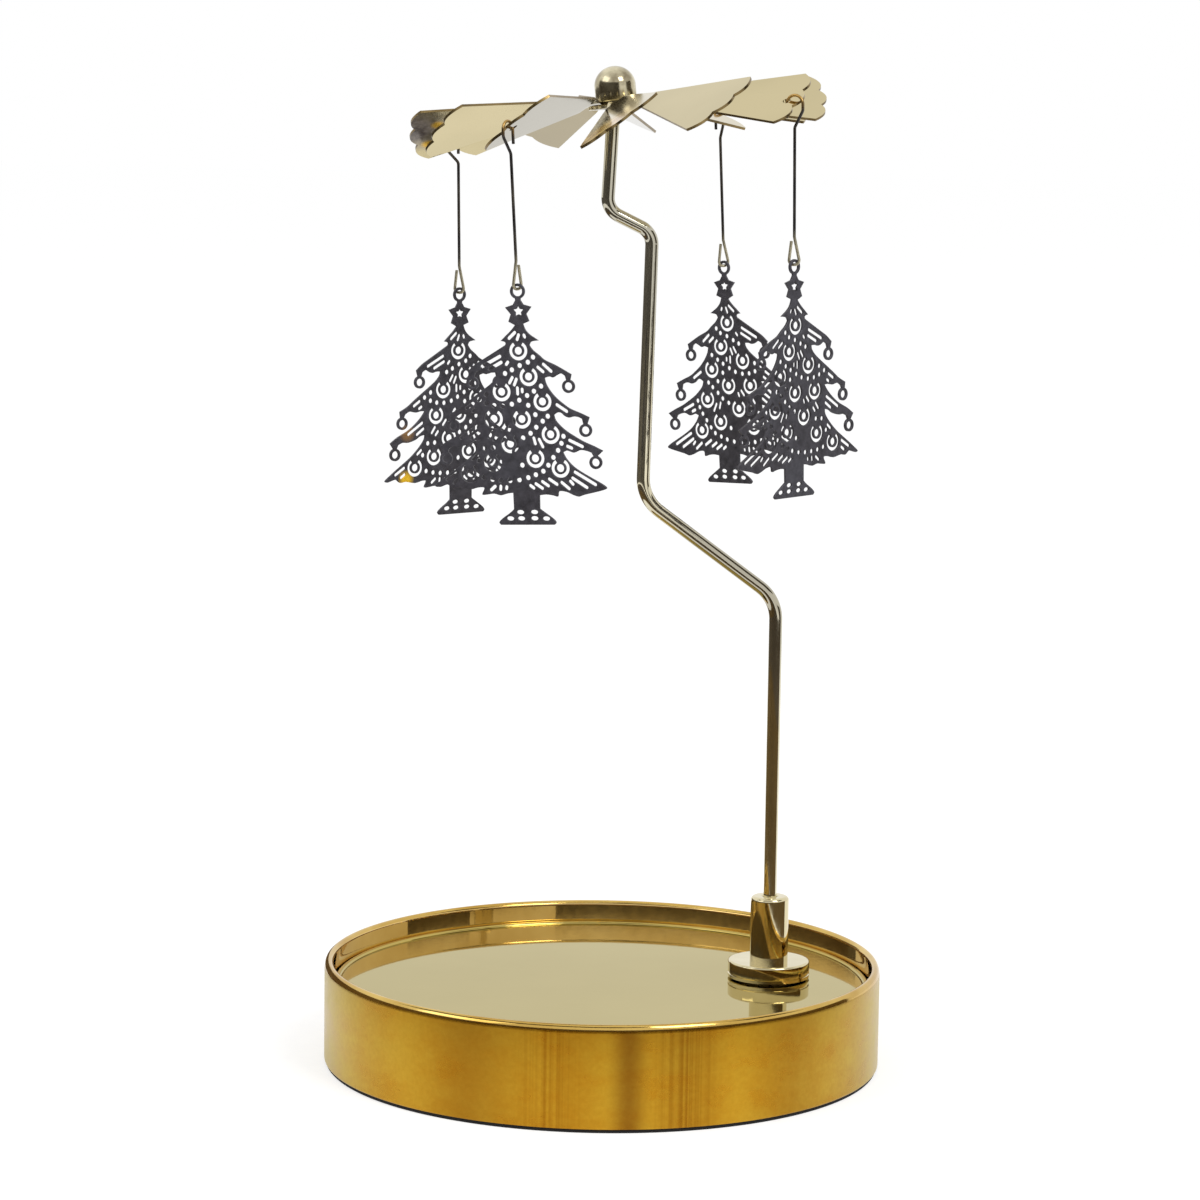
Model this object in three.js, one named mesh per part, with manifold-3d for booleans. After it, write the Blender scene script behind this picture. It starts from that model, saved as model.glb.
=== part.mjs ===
// A rotating candle holder: a drum tray with a mirror floor, a bent rod on a magnetic foot and, on the
// rod's needle point, a twelve-blade rotor that carries four tree pendants on wire hangers.
// Millimetres, +Z up. The origin is the middle of the underside and +X runs towards the foot's side.

import * as THREE from 'three';
import { mergeVertices } from 'three/addons/utils/BufferGeometryUtils.js';
import Module from 'manifold-3d';

const wasm = await Module();
wasm.setup();

const degrees = Math.PI / 180;

// Tray
const trayDiameter = 84;
const trayHeight = 15.7;
const trayWall = 1.35;
const recessDepth = 3.5;
const floorThickness = 1;
const flangeWidth = 3.6;
const flangeThickness = 0.9;
const padThickness = 1;
const padProud = 0.5;
const padInset = 0.3;
const trayFit = 0.15;
const traySides = 48;

// Foot on the tray floor
const footInset = 14.95;
const footAzimuth = 9 * degrees;
const footDiameter = 12.4;
const footHeight = 2.6;
const footChamfer = 0.3;
const magnetDiameter = 10;
const magnetThickness = 1.5;
const magnetProud = 0.2;
const magnetFit = 0.2;
const socketDiameter = 5.8;
const socketHeight = 9.9;
const socketChamfer = 0.6;
const socketDepth = 8.6;
const spigotDiameter = 3.4;
const spigotFit = 0.15;
const footSides = 32;

// Rod, with its bends as a reach from the tray's axis and a drop below the needle point
const rodDiameter = 2;
const rodFit = 0.15;
const pivotHeight = 146.8;
const needleLength = 2.4;
const needleTip = 0.2;
const needleSink = 0.3;
const needleStep = 0.045;
const neckReach = -0.9;
const neckDrop = 18.1;
const shoulderReach = 5.9;
const shoulderDrop = 21.4;
const kneeReach = 5.05;
const kneeDrop = 61;
const elbowDrop = 76.3;
const tightBend = 2.9;
const wideBend = 6.2;
const rodSides = 12;

// Rotor, measured down from the needle point; it rides rocked on the point
const sideRock = 6.2 * degrees;
const frontRock = 2.2 * degrees;
const capDiameter = 6.1;
const capRise = 3;
const capDrop = 2.2;
const domeHeight = 2.9;
const capRound = 0.3;
const boreDiameter = 4.2;
const seatDepth = 1.7;
const pivotGap = 0.15;
const stemDiameter = 5.2;
const stemFit = 0.15;
const washerDiameter = 8.4;
const washerThickness = 0.6;
const sheetThickness = 0.4;
const discDiameter = 12;
const bladeCount = 12;
const bladeTwist = 30 * degrees;
const bladeDroop = 5.5 * degrees;
const neckWidth = 1.9;
const twistEnd = 9;
const cornerRadius = 28.6;
const bladeWidth = 13.1;
const notchRadius = 29.8;
const lobeCount = 3;
const lobeBulge = 1;
const hookHole = 1.3;
const holeReach = 28.5;
const holeOffset = -1;
const rotorSides = 24;

// Wire hangers
const wireDiameter = 0.44;
const hookBend = 1.3;
const hookDrop = 0.3;
const hookTail = 2;
const kinkTop = 0.9;
const kinkBottom = 3.3;
const hangerLength = 22.7;
const loopWidth = 1.7;
const loopHeight = 4;
const loopTail = 3.4;
const loopBend = 0.65;
const kinkBend = 0.8;
const wireSides = 6;

// Tree pendants, drawn on a grid with the eye's centre at 0, 0
const treeGridPitch = 1;
const plateThickness = 0.4;
const eyeHole = 1.44;
const eyeBand = 0.38;
const eyeGap = 0.2;
const eyeNeck = 0.76;
const neckLevel = -1.25;
const starHeight = -2.85;
const starHole = 0.78;
const starHollow = 0.42;
const ringRadius = 0.95;
const ringHole = 0.57;
const ringStem = 0.6;
const baubleSize = 1.38;
const baubleBand = 0.88;
const baubleHole = 0.57;
const baubleTie = 30 * degrees;
const dotSize = 0.37;
const slitWidth = 0.5;
const potHoleWidth = 1.1;
const potHoleHeight = 0.64;

// Each side's edge from the star down, with X reckoned outward: a tier runs out over its bough to the tip,
// round the ring that hangs there, and back under the bough
const starEdge = [[0.78, -1.9], [1.95, -2.25], [1.15, -3.25], [1.55, -4.28]];
const rightSide = {
  crown: [[0.6, -4.65], [0.95, -5.5], [1.5, -6.15], [2.8, -7.05], [1.65, -7.25], [1.4, -7.7]],
  tiers: [
    {
      over: [[1.9, -8.4], [3.6, -9.85], [5.05, -10.55], [7.45, -11.95]],
      ring: [6.95, -13.65],
      under: [[6.5, -12.15], [5.95, -11.8], [4.75, -12.35], [4.2, -12.2], [3.45, -12.4]],
    },
    {
      over: [[3.65, -13.25], [4.25, -14.3], [5.1, -15.3], [7.1, -16.85], [9.85, -18.1]],
      ring: [9.2, -19.95],
      under: [[8.75, -18.3], [8.25, -18.05], [6.85, -18.1], [5.7, -17.4], [5.15, -17.35], [4.6, -17.7]],
    },
    {
      over: [[4.8, -18.4], [6.35, -20], [8.85, -21.55], [11.65, -22.9]],
      ring: [10.5, -24.55],
      under: [[9.95, -23.15], [8.35, -22.75], [7.4, -23.1], [6.25, -22.8], [5.7, -23.05]],
    },
  ],
  skirt: [
    [6.2, -24], [7.2, -25.1], [8.5, -26], [11.35, -27.65], [12, -28.2], [11.5, -28.5], [7.8, -29.4],
    [5.95, -28.7], [4.85, -28.6], [4.65, -29.35], [2.95, -29.05], [1.9, -29.15],
  ],
  pot: [[1.85, -31.1], [3.75, -32.5], [4.2, -33.05], [3.95, -33.4]],
};
const leftSide = {
  crown: [[0.6, -4.8], [1.3, -5.6], [2.85, -7], [2.15, -7.25], [2.2, -7.6]],
  tiers: [
    {
      over: [[3.6, -8.4], [6.85, -10.25], [7.95, -11.15]],
      ring: [7.4, -12.95],
      under: [[6.9, -11.45], [6.25, -11.15], [5.05, -11.65], [3.6, -11.5]],
    },
    {
      over: [[3.75, -12.1], [5.6, -13.75], [8.5, -15.75], [11, -17.25]],
      ring: [10.6, -19.05],
      under: [[10.1, -17.7], [9.3, -17.3], [8.2, -17.5], [6.5, -17.4]],
    },
    {
      over: [[7.3, -18.4], [9.8, -20.3], [12.8, -21.95]],
      ring: [11.95, -23.7],
      under: [[11.4, -22.25], [9.65, -22], [8.3, -21.65], [6.55, -20.95]],
    },
  ],
  skirt: [
    [6.65, -21.6], [8.1, -23.35], [10.5, -25.2], [13.8, -27.55], [13.4, -27.8], [11.8, -27.5], [11.1, -28],
    [8.5, -28.2], [6.35, -28], [6.75, -28.95], [3.9, -29.1], [2.05, -28.75],
  ],
  pot: [[2.05, -31.1], [3.75, -32.35], [4.35, -32.95], [4.1, -33.35]],
};

// Cut-outs: pierced baubles, the garlands' dots, slits along the boughs and the pot's ovals
const baubles = [
  [-0.3, -8.45], [1.05, -12.15], [-3.1, -14.25], [2.95, -15.75], [-0.25, -18.2], [-4.45, -18.1],
  [3.95, -20.45], [-2.15, -21.7], [1.5, -23.85], [-4.9, -24.35], [5.2, -25.3], [-8.4, -25.85],
];
const dots = [
  [1.85, -9.4], [1.05, -10.1], [-0.2, -10.55], [-1.4, -11.15], [-2.45, -11.65],
  [2.85, -13.55], [1.75, -14.25], [0.7, -14.85], [-0.5, -15.5], [-1.65, -16.05],
  [-3, -16.3], [-4.3, -16.2], [-5.45, -15.85], [-6.5, -15.3], [-5.4, -14.6],
  [3.65, -17.85], [2.85, -18.55], [1.85, -19.4], [0.95, -20.25], [-0.2, -20.9], [1.8, -17.6], [0.8, -16.25],
  [5.85, -20.75], [5.5, -21.75], [4.95, -22.75], [4.2, -23.75], [3.4, -24.85], [2.6, -25.7], [1.45, -26.2],
  [0.3, -26.6], [-1.05, -26.9], [-2.45, -27], [-3.8, -26.95], [-5.1, -26.8], [-6.35, -26.5],
  [-0.5, -24.8], [-6, -22.3], [-4.75, -22.25], [-6.95, -24.05],
];
const slits = [
  [[-1.6, -6.65], [-0.7, -5.85]], [[-0.4, -6.85], [-0.15, -6.2]], [[0.65, -6.25], [0.75, -6.5]],
  [[-5.85, -10.6], [-3.1, -9.2]], [[-4.7, -10.95], [-2.95, -10.05]], [[-2.2, -10.35], [-1.95, -10.05]],
  [[3.35, -10.45], [4.45, -11.45]], [[2.5, -10.85], [3.25, -11.5]],
  [[-1.85, -13], [-1.4, -12.25]], [[-1.15, -13.3], [-0.8, -12.5]],
  [[-0.7, -13.75], [-0.7, -14.6]], [[0, -13.95], [0, -14.3]],
  [[5.1, -16.25], [6.5, -17.2]], [[-8.45, -16.5], [-7.45, -15.85]], [[-7.5, -16.95], [-7.1, -16.7]],
  [[1.4, -20.95], [1.6, -21.75]], [[2.2, -21.15], [2.7, -22.2]],
  [[6.75, -21.35], [8.6, -22.25]], [[6.4, -22.2], [7, -22.45]],
  [[-9.5, -20.75], [-7, -19.15]], [[-7.95, -20.85], [-6.8, -20.05]],
  [[-5.25, -20.75], [-4.7, -19.95]], [[-4.55, -21.1], [-4.15, -20.6]],
  [[-3.2, -19.6], [-2.7, -18.95]], [[-2.25, -19.75], [-2.1, -19.35]],
  [[7.35, -25.9], [10.3, -27.7]], [[6.95, -26.75], [9, -28.1]],
  [[6.6, -27.2], [6.95, -27.6]], [[5.3, -27.35], [6.35, -28.25]],
  [[3.45, -26.85], [4.55, -27.6]], [[2.4, -27.2], [3.25, -27.8]],
  [[1.4, -27.5], [2.35, -28.15]], [[0.6, -27.75], [1.05, -28.1]],
  [[-5.35, -28.3], [-4.75, -27.8]], [[-3.9, -27.8], [-3.95, -28.25]], [[-3, -27.9], [-3.05, -28.15]],
  [[-7.9, -23.85], [-7.25, -23.3]], [[-11.9, -26.75], [-10.35, -25.8]], [[-10.9, -27.2], [-10.3, -26.8]],
];
const potHoles = [[-1.1, -31.55], [1, -31.55], [-2.65, -32.45], [-1, -32.45], [1, -32.45], [2.75, -32.5]];

// Where each pendant hangs: its blade, its wire's length, inset from the hook and lean, and the turns of
// its tree and lower loop
const pendants = [
  { blade: 11, length: hangerLength, inset: 0, lean: 1, tree: 225, loop: -12 },
  { blade: 8, length: hangerLength - 0.5, inset: 0.5, lean: 3.4, tree: -17, loop: 223 },
  { blade: 5, length: hangerLength, inset: 1.3, lean: 1, tree: 36, loop: -24 },
  { blade: 2, length: hangerLength, inset: 0, lean: 2.7, tree: 141, loop: 19 },
];

// Blades bent further up or down than the rest
const strayBlades = new Map([[9, 2.9 * degrees], [3, -2.5 * degrees]]);

const brass = { color: 0xb8912f, roughness: 0.34, metalness: 1 };
const paleBrass = { color: 0xcdbd8a, roughness: 0.12, metalness: 1 };
const darkPlate = { color: 0x3d3a3e, roughness: 0.5, metalness: 0.8 };
const darkWire = { color: 0x6d6555, roughness: 0.4, metalness: 1 };
const steel = { color: 0x8c8c8c, roughness: 0.4, metalness: 1 };
const foam = { color: 0x161616, roughness: 0.95, metalness: 0 };

const trayRadius = trayDiameter / 2;
const innerRadius = trayRadius - trayWall;
const floorTop = trayHeight - recessDepth;
const footReach = innerRadius - footInset;
const footTop = magnetProud + footHeight;
const socketFloor = footTop + socketHeight - socketDepth;
const rodRadius = rodDiameter / 2;
const wireRadius = wireDiameter / 2;
const sheetLevel = -capDrop - sheetThickness / 2;
const stemLength = sheetThickness + washerThickness;
const discRadius = discDiameter / 2;
const rootReach = Math.sqrt(discRadius ** 2 - (neckWidth / 2) ** 2);
const hookReach = holeReach + hookBend;
const eyeLevel = wireRadius + eyeGap - eyeHole / 2;

function mesh(name, geometry, finish) {
  const piece = new THREE.Mesh(geometry, new THREE.MeshStandardMaterial(finish));
  piece.name = name;
  return piece;
}

function polar(radius, angle) {
  return [radius * Math.cos(angle), radius * Math.sin(angle)];
}

// Points on an arc about a centre, both ends included.
function arc(centre, radius, from, to, steps) {
  const points = [];
  for (let i = 0; i <= steps; i += 1) {
    const [x, y] = polar(radius, from + (to - from) * i / steps);
    points.push([centre[0] + x, centre[1] + y]);
  }
  return points;
}

function circle(centre, radius, sides) {
  return arc(centre, radius, 0, 2 * Math.PI * (sides - 1) / sides, sides - 1);
}

// A body of revolution about Z from its section, drawn up its outer side and down its inner side.
function turned(section, sides) {
  const points = section.map(([r, z]) => new THREE.Vector2(r, z));
  if (section[0][0] > 0) points.push(points[0].clone());
  return new THREE.LatheGeometry(points, sides).rotateX(Math.PI / 2);
}

function disc(diameter, bottom, thickness, sides) {
  const geometry = new THREE.CylinderGeometry(diameter / 2, diameter / 2, thickness, sides);
  return geometry.rotateX(Math.PI / 2).translate(0, 0, bottom + thickness / 2);
}

// A wire's path, sampled only at its ends and round its bends.
class BentPath extends THREE.Curve {
  constructor(corners, bends, arcSteps) {
    super();
    this.stops = [corners[0]];
    for (let i = 1; i < corners.length - 1; i += 1) {
      this.addBend(corners[i - 1], corners[i], corners[i + 1], bends[i - 1], arcSteps);
    }
    this.stops.push(corners[corners.length - 1]);
  }

  addBend(before, corner, after, radius, arcSteps) {
    const back = before.clone().sub(corner).normalize();
    const onward = after.clone().sub(corner).normalize();
    const half = back.angleTo(onward) / 2;
    const middle = back.clone().add(onward).normalize();
    const centre = corner.clone().addScaledVector(middle, radius / Math.sin(half));
    const start = corner.clone().addScaledVector(back, radius / Math.tan(half)).sub(centre);
    const axis = onward.clone().cross(back).normalize();
    const sweep = Math.PI - 2 * half;
    for (let i = 0; i <= arcSteps; i += 1) {
      this.stops.push(start.clone().applyAxisAngle(axis, sweep * i / arcSteps).add(centre));
    }
  }

  getPointAt(u) {
    return this.stops[Math.round(u * (this.stops.length - 1))].clone();
  }

  getTangentAt(u) {
    const i = Math.round(u * (this.stops.length - 1));
    const ahead = this.stops[Math.min(i + 1, this.stops.length - 1)];
    const behind = this.stops[Math.max(i - 1, 0)];
    const to = ahead.clone().sub(this.stops[i]).normalize();
    const from = this.stops[i].clone().sub(behind).normalize();
    return to.add(from).normalize();
  }
}

function bentWire(corners, bends, radius, sides, arcSteps) {
  const extrudePath = new BentPath(corners, bends, arcSteps);
  const section = new THREE.Shape(circle([0, 0], radius, sides).map(([x, y]) => new THREE.Vector2(x, y)));
  const steps = extrudePath.stops.length - 1;
  return new THREE.ExtrudeGeometry(section, { steps, extrudePath, bevelEnabled: false });
}

function solid(geometry) {
  const bare = new THREE.BufferGeometry();
  bare.setAttribute('position', geometry.getAttribute('position'));
  bare.setIndex(geometry.getIndex());
  const merged = mergeVertices(bare, 1e-4);
  const vertProperties = new Float32Array(merged.getAttribute('position').array);
  const triVerts = new Uint32Array(merged.getIndex().array);
  return new wasm.Manifold(new wasm.Mesh({ numProp: 3, vertProperties, triVerts }));
}

function joined(first, second) {
  const result = solid(first).add(solid(second)).getMesh();
  const geometry = new THREE.BufferGeometry();
  geometry.setAttribute('position', new THREE.BufferAttribute(new Float32Array(result.vertProperties), 3));
  geometry.setIndex(new THREE.BufferAttribute(new Uint32Array(result.triVerts), 1));
  return geometry;
}

// The tray's band: an outer wall with a rolled rim, a ledge for the floor and a flange for the pad.
function trayRing() {
  const rim = trayWall / 2;
  const ledge = floorTop - floorThickness;
  const flangeRadius = innerRadius - flangeWidth;
  return turned([
    [trayRadius, padProud],
    ...arc([trayRadius - rim, trayHeight - rim], rim, 0, Math.PI, 6),
    [innerRadius, ledge],
    [flangeRadius, ledge],
    [flangeRadius, ledge - flangeThickness],
    [innerRadius, ledge - flangeThickness],
    [innerRadius, padThickness + flangeThickness],
    [flangeRadius, padThickness + flangeThickness],
    [flangeRadius, padThickness],
    [innerRadius, padThickness],
    [innerRadius, padProud],
  ], traySides);
}

// The pad under the tray: a disc inside the band, with a thin lip that the band stands on.
function basePad() {
  const lip = trayRadius - padInset;
  const body = innerRadius - trayFit;
  return turned([
    [0, 0],
    [lip, 0],
    [lip, padProud],
    [body, padProud],
    [body, padThickness],
    [0, padThickness],
  ], traySides);
}

// The foot's cup, open below for its magnet, standing on the tray floor at height 0.
function footCup() {
  const radius = footDiameter / 2;
  const pocket = magnetDiameter / 2 + magnetFit;
  const hole = spigotDiameter / 2 + spigotFit;
  return turned([
    [pocket, magnetProud],
    [radius, magnetProud],
    [radius, footTop - footChamfer],
    [radius - footChamfer, footTop],
    [hole, footTop],
    [hole, magnetThickness],
    [pocket, magnetThickness],
  ], footSides);
}

// The socket stands on the cup with its spigot through the cup's crown.
function socketTube() {
  const radius = socketDiameter / 2;
  const bore = rodRadius + rodFit;
  const top = footTop + socketHeight;
  return turned([
    [0, magnetThickness + spigotFit],
    [spigotDiameter / 2, magnetThickness + spigotFit],
    [spigotDiameter / 2, footTop],
    [radius, footTop],
    [radius, top - socketChamfer],
    [radius - socketChamfer, top],
    [bore, top],
    [bore, socketFloor],
    [0, socketFloor],
  ], footSides);
}

// The rod stands in its socket and bends in one upright plane up to its needle point.
function bentRod() {
  const point = new THREE.Vector3(0, 0, pivotHeight);
  const neck = new THREE.Vector3(neckReach, 0, pivotHeight - neckDrop);
  const upward = point.clone().sub(neck).normalize();
  const shank = bentWire([
    new THREE.Vector3(footReach, 0, floorTop + socketFloor),
    new THREE.Vector3(footReach, 0, pivotHeight - elbowDrop),
    new THREE.Vector3(kneeReach, 0, pivotHeight - kneeDrop),
    new THREE.Vector3(shoulderReach, 0, pivotHeight - shoulderDrop),
    neck,
    point.clone().addScaledVector(upward, -needleLength),
  ], [wideBend, wideBend, tightBend, tightBend], rodRadius, rodSides, 6);
  const length = needleLength + needleSink;
  const needle = new THREE.CylinderGeometry(needleTip / 2, rodRadius - needleStep, length, rodSides);
  needle.translate(0, -length / 2, 0);
  needle.applyQuaternion(new THREE.Quaternion().setFromUnitVectors(new THREE.Vector3(0, 1, 0), upward));
  needle.translate(point.x, point.y, point.z);
  return joined(shank, needle);
}

// The hub cap: a dome over a bore with a conical seat for the needle, and a stem through the sheet.
function hubCap() {
  const radius = capDiameter / 2;
  const shoulder = capRise - domeHeight;
  const stem = stemDiameter / 2;
  const bore = boreDiameter / 2;
  const dome = arc([0, 0], 1, 0, Math.PI / 2, 6).map(([x, y]) => [radius * x, shoulder + domeHeight * y]);
  dome[dome.length - 1][0] = 0;
  return turned([
    [0, pivotGap],
    [bore, pivotGap - seatDepth],
    [bore, -capDrop - stemLength],
    [stem, -capDrop - stemLength],
    [stem, -capDrop],
    [radius - capRound, -capDrop],
    [radius, -capDrop + capRound],
    ...dome,
  ], rotorSides);
}

function hubWasher() {
  const inner = stemDiameter / 2 + stemFit;
  const outer = washerDiameter / 2;
  const bottom = -capDrop - stemLength;
  const top = bottom + washerThickness;
  return turned([[inner, bottom], [outer, bottom], [outer, top], [inner, top]], rotorSides);
}

// Corner numbers of the triangles that fill a flat outline and leave its holes open, all facing up.
function fill(outline, holes) {
  const flat = (points) => points.map(([x, y]) => new THREE.Vector2(x, y));
  const corners = flat([...outline, ...holes.flat()]);
  return THREE.ShapeUtils.triangulateShape(flat(outline), holes.map(flat)).map(([a, b, c]) => {
    const ab = corners[b].clone().sub(corners[a]);
    const ac = corners[c].clone().sub(corners[a]);
    return ab.cross(ac) > 0 ? [a, b, c] : [a, c, b];
  });
}

// A closed sheet of even thickness about a surface of numbered points and triangles.
function thickened(points, triangles, thickness) {
  const middle = new THREE.BufferGeometry();
  middle.setAttribute('position', new THREE.Float32BufferAttribute(points.flat(), 3));
  middle.setIndex(triangles.flat());
  middle.computeVertexNormals();
  const normal = middle.getAttribute('normal').array;
  const offset = (side) => points.flat().map((value, i) => value + side * normal[i] * thickness / 2);
  const under = points.length;
  const faces = [...triangles, ...triangles.map(([a, b, c]) => [a + under, c + under, b + under])];
  const edges = new Set(triangles.flatMap(([a, b, c]) => [`${a},${b}`, `${b},${c}`, `${c},${a}`]));
  for (const edge of edges) {
    const [a, b] = edge.split(',').map(Number);
    if (!edges.has(`${b},${a}`)) faces.push([a, a + under, b], [b, a + under, b + under]);
  }
  const sheet = new THREE.BufferGeometry();
  sheet.setAttribute('position', new THREE.Float32BufferAttribute([...offset(1), ...offset(-1)], 3));
  sheet.setIndex(faces.flat());
  return sheet;
}

// How far a blade has bent down at a reach from the axis: the bend is spread along its neck.
function bladeDrop(blade, reach) {
  const neckLength = twistEnd - rootReach;
  const past = reach - rootReach;
  const eased = past < neckLength ? past ** 2 / neckLength / 2 : past - neckLength / 2;
  return eased * Math.tan(bladeDroop + (strayBlades.get(blade) ?? 0));
}

// The blade's flat outline past its twisted neck, along X: straight sides and a scalloped end.
function bladeOutline(rootHalf) {
  const half = bladeWidth / 2;
  const lobe = bladeWidth / lobeCount;
  const outline = [[twistEnd, -rootHalf]];
  for (let i = 0; i < lobeCount; i += 1) {
    const low = -half + i * lobe;
    const ends = [low, low + lobe].map((s) => [Math.abs(s) > half - 1e-6 ? cornerRadius : notchRadius, s]);
    const start = new THREE.Vector2(...ends[0]);
    const end = new THREE.Vector2(...ends[1]);
    const middle = start.clone().add(end).divideScalar(2);
    const out = new THREE.Vector2(end.y - start.y, start.x - end.x).normalize();
    const pull = middle.addScaledVector(out, 2 * lobeBulge);
    const scallop = new THREE.QuadraticBezierCurve(start, pull, end).getPoints(4);
    outline.push(...scallop.slice(i === 0 ? 0 : 1).map((p) => [p.x, p.y]));
  }
  outline.push([twistEnd, rootHalf]);
  return outline;
}

// The sheet of the rotor: a flat centre, and blades that twist and bend down at their necks.
function fanSheet() {
  const points = [];
  const triangles = [];
  const put = (point) => points.push(point) - 1;
  const widening = (bladeWidth - neckWidth) / 2 / (cornerRadius - rootReach);
  const neckSteps = 3;
  const contour = [];
  const contourIds = [];
  for (let k = 0; k < bladeCount; k += 1) {
    const azimuth = k * 2 * Math.PI / bladeCount;
    const place = (reach, across, twist) => {
      const side = across * Math.cos(twist);
      const x = reach * Math.cos(azimuth) - side * Math.sin(azimuth);
      const y = reach * Math.sin(azimuth) + side * Math.cos(azimuth);
      return put([x, y, sheetLevel + across * Math.sin(twist) - bladeDrop(k, reach)]);
    };
    let last = null;
    let half = 0;
    for (let i = 0; i <= neckSteps; i += 1) {
      const reach = rootReach + (twistEnd - rootReach) * i / neckSteps;
      const twist = bladeTwist * THREE.MathUtils.smoothstep(i, 0, neckSteps);
      half = neckWidth / 2 + widening * (reach - rootReach);
      const ids = [place(reach, -half, twist), place(reach, half, twist)];
      if (last) triangles.push([last[0], ids[0], ids[1]], [last[0], ids[1], last[1]]);
      else contourIds.push(...ids);
      last = ids;
    }
    const outline = bladeOutline(half);
    const hooked = pendants.some((pendant) => pendant.blade === k);
    const hole = hooked ? [circle([holeReach, holeOffset], hookHole / 2, 8)] : [];
    const bladeIds = [
      last[0],
      ...outline.slice(1, -1).map(([x, s]) => place(x, s, bladeTwist)),
      last[1],
      ...hole.flat().map(([x, s]) => place(x, s, bladeTwist)),
    ];
    triangles.push(...fill(outline, hole).map((corners) => corners.map((c) => bladeIds[c])));
    contourIds.push(put([...polar(discRadius, azimuth + Math.PI / bladeCount), sheetLevel]));
  }
  contourIds.forEach((id) => contour.push(points[id].slice(0, 2)));
  const eye = circle([0, 0], stemDiameter / 2 + stemFit, rotorSides);
  const centreIds = [...contourIds, ...eye.map((p) => put([...p, sheetLevel]))];
  triangles.push(...fill(contour, [eye]).map((corners) => corners.map((c) => centreIds[c])));
  return thickened(points, triangles, sheetThickness);
}

// A hanger, with its top bend's centre at the origin: a tail up through the blade's hole, the bend over
// the blade's edge, a kink back under the bend, the straight run and the open loop for the tree's eye.
function hanger(outward, across, inset, loopLevel) {
  const out = new THREE.Vector3(...polar(1, outward), 0);
  const side = new THREE.Vector3(...polar(1, across), 0);
  const hook = (reach, height) => out.clone().multiplyScalar(reach).setZ(height);
  const run = (reach, height) => hook(-inset, height).addScaledVector(side, reach);
  const half = loopWidth / 2;
  return bentWire([
    hook(-hookBend, -hookTail),
    hook(-hookBend, hookBend),
    hook(hookBend, hookBend),
    hook(hookBend, -kinkTop),
    run(0, -kinkBottom),
    run(0, loopLevel + loopHeight),
    run(half, loopLevel),
    run(-half, loopLevel),
    run(-half / 2, loopLevel + loopTail),
  ], [hookBend, hookBend, kinkBend, kinkBend, kinkBend, loopBend, loopBend], wireRadius, wireSides, 3);
}

function onGrid([x, z]) {
  return [x * treeGridPitch, z * treeGridPitch];
}

function mirrored([x, z]) {
  return [-x, z];
}

// One side's edge of the tree, from the top of its eye down to the foot of its pot.
function treeEdge(side) {
  const band = eyeHole / 2 + eyeBand;
  const neckAngle = Math.asin(eyeNeck / 2 / band) - Math.PI / 2;
  const stemAngle = Math.acos(ringStem / 2 / ringRadius);
  const edge = arc([0, 0], band, Math.PI / 2, neckAngle, 5);
  edge.push([eyeNeck / 2, neckLevel], ...[...starEdge, ...side.crown].map(onGrid));
  for (const { over, ring, under } of side.tiers) {
    edge.push(...over.map(onGrid));
    edge.push(...arc(onGrid(ring), ringRadius, stemAngle, -Math.PI - stemAngle, 7));
    edge.push(...under.map(onGrid));
  }
  edge.push(...[...side.skirt, ...side.pot].map(onGrid));
  return edge;
}

function starCut() {
  const points = [];
  for (let i = 0; i < 10; i += 1) {
    const [x, z] = polar(i % 2 === 0 ? starHole : starHollow, Math.PI / 2 + i * Math.PI / 5);
    points.push([x, starHeight + z]);
  }
  return points;
}

// A bauble is a small pierced disc held at its top inside a horseshoe slot.
function baubleCuts(centre) {
  const from = Math.PI / 2 + baubleTie;
  const to = Math.PI * 5 / 2 - baubleTie;
  const slot = [...arc(centre, baubleSize, from, to, 7), ...arc(centre, baubleBand, to, from, 7)];
  return [slot, circle(centre, baubleHole, 6)];
}

function slitCut([start, end]) {
  const way = Math.atan2(end[1] - start[1], end[0] - start[0]);
  const half = slitWidth / 2;
  const quarter = Math.PI / 2;
  return [
    ...arc(end, half, way - quarter, way + quarter, 2),
    ...arc(start, half, way + quarter, way + 3 * quarter, 2),
  ];
}

function potCut([x, z]) {
  return circle([0, 0], 1, 6).map(([u, v]) => [x + potHoleWidth / 2 * u, z + potHoleHeight / 2 * v]);
}

function treePlate() {
  const outline = [...treeEdge(rightSide), ...treeEdge(leftSide).slice(1).reverse().map(mirrored)];
  const rings = [
    ...rightSide.tiers.map(({ ring }) => ring),
    ...leftSide.tiers.map(({ ring }) => mirrored(ring)),
  ];
  const cuts = [
    circle([0, 0], eyeHole / 2, 10),
    starCut(),
    ...rings.map((centre) => circle(onGrid(centre), ringHole, 6)),
    ...baubles.flatMap((centre) => baubleCuts(onGrid(centre))),
    ...dots.map((centre) => circle(onGrid(centre), dotSize, 5)),
    ...slits.map((ends) => slitCut(ends.map(onGrid))),
    ...potHoles.map((centre) => potCut(onGrid(centre))),
  ];
  const flat = (points) => points.map(([x, y]) => new THREE.Vector2(x, y));
  const shape = new THREE.Shape(flat(outline));
  shape.holes = cuts.map((cut) => new THREE.Path(flat(cut)));
  const plate = new THREE.ExtrudeGeometry(shape, { depth: plateThickness, bevelEnabled: false });
  plate.translate(0, 0, -plateThickness / 2);
  return plate.rotateX(Math.PI / 2).translate(0, 0, eyeLevel);
}

const holder = new THREE.Group();

holder.add(mesh('tray_ring', trayRing(), brass));
const floorDiameter = 2 * (innerRadius - trayFit);
const floorBottom = floorTop - floorThickness;
holder.add(mesh('mirror_floor', disc(floorDiameter, floorBottom, floorThickness, traySides), paleBrass));
holder.add(mesh('base_pad', basePad(), foam));

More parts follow.
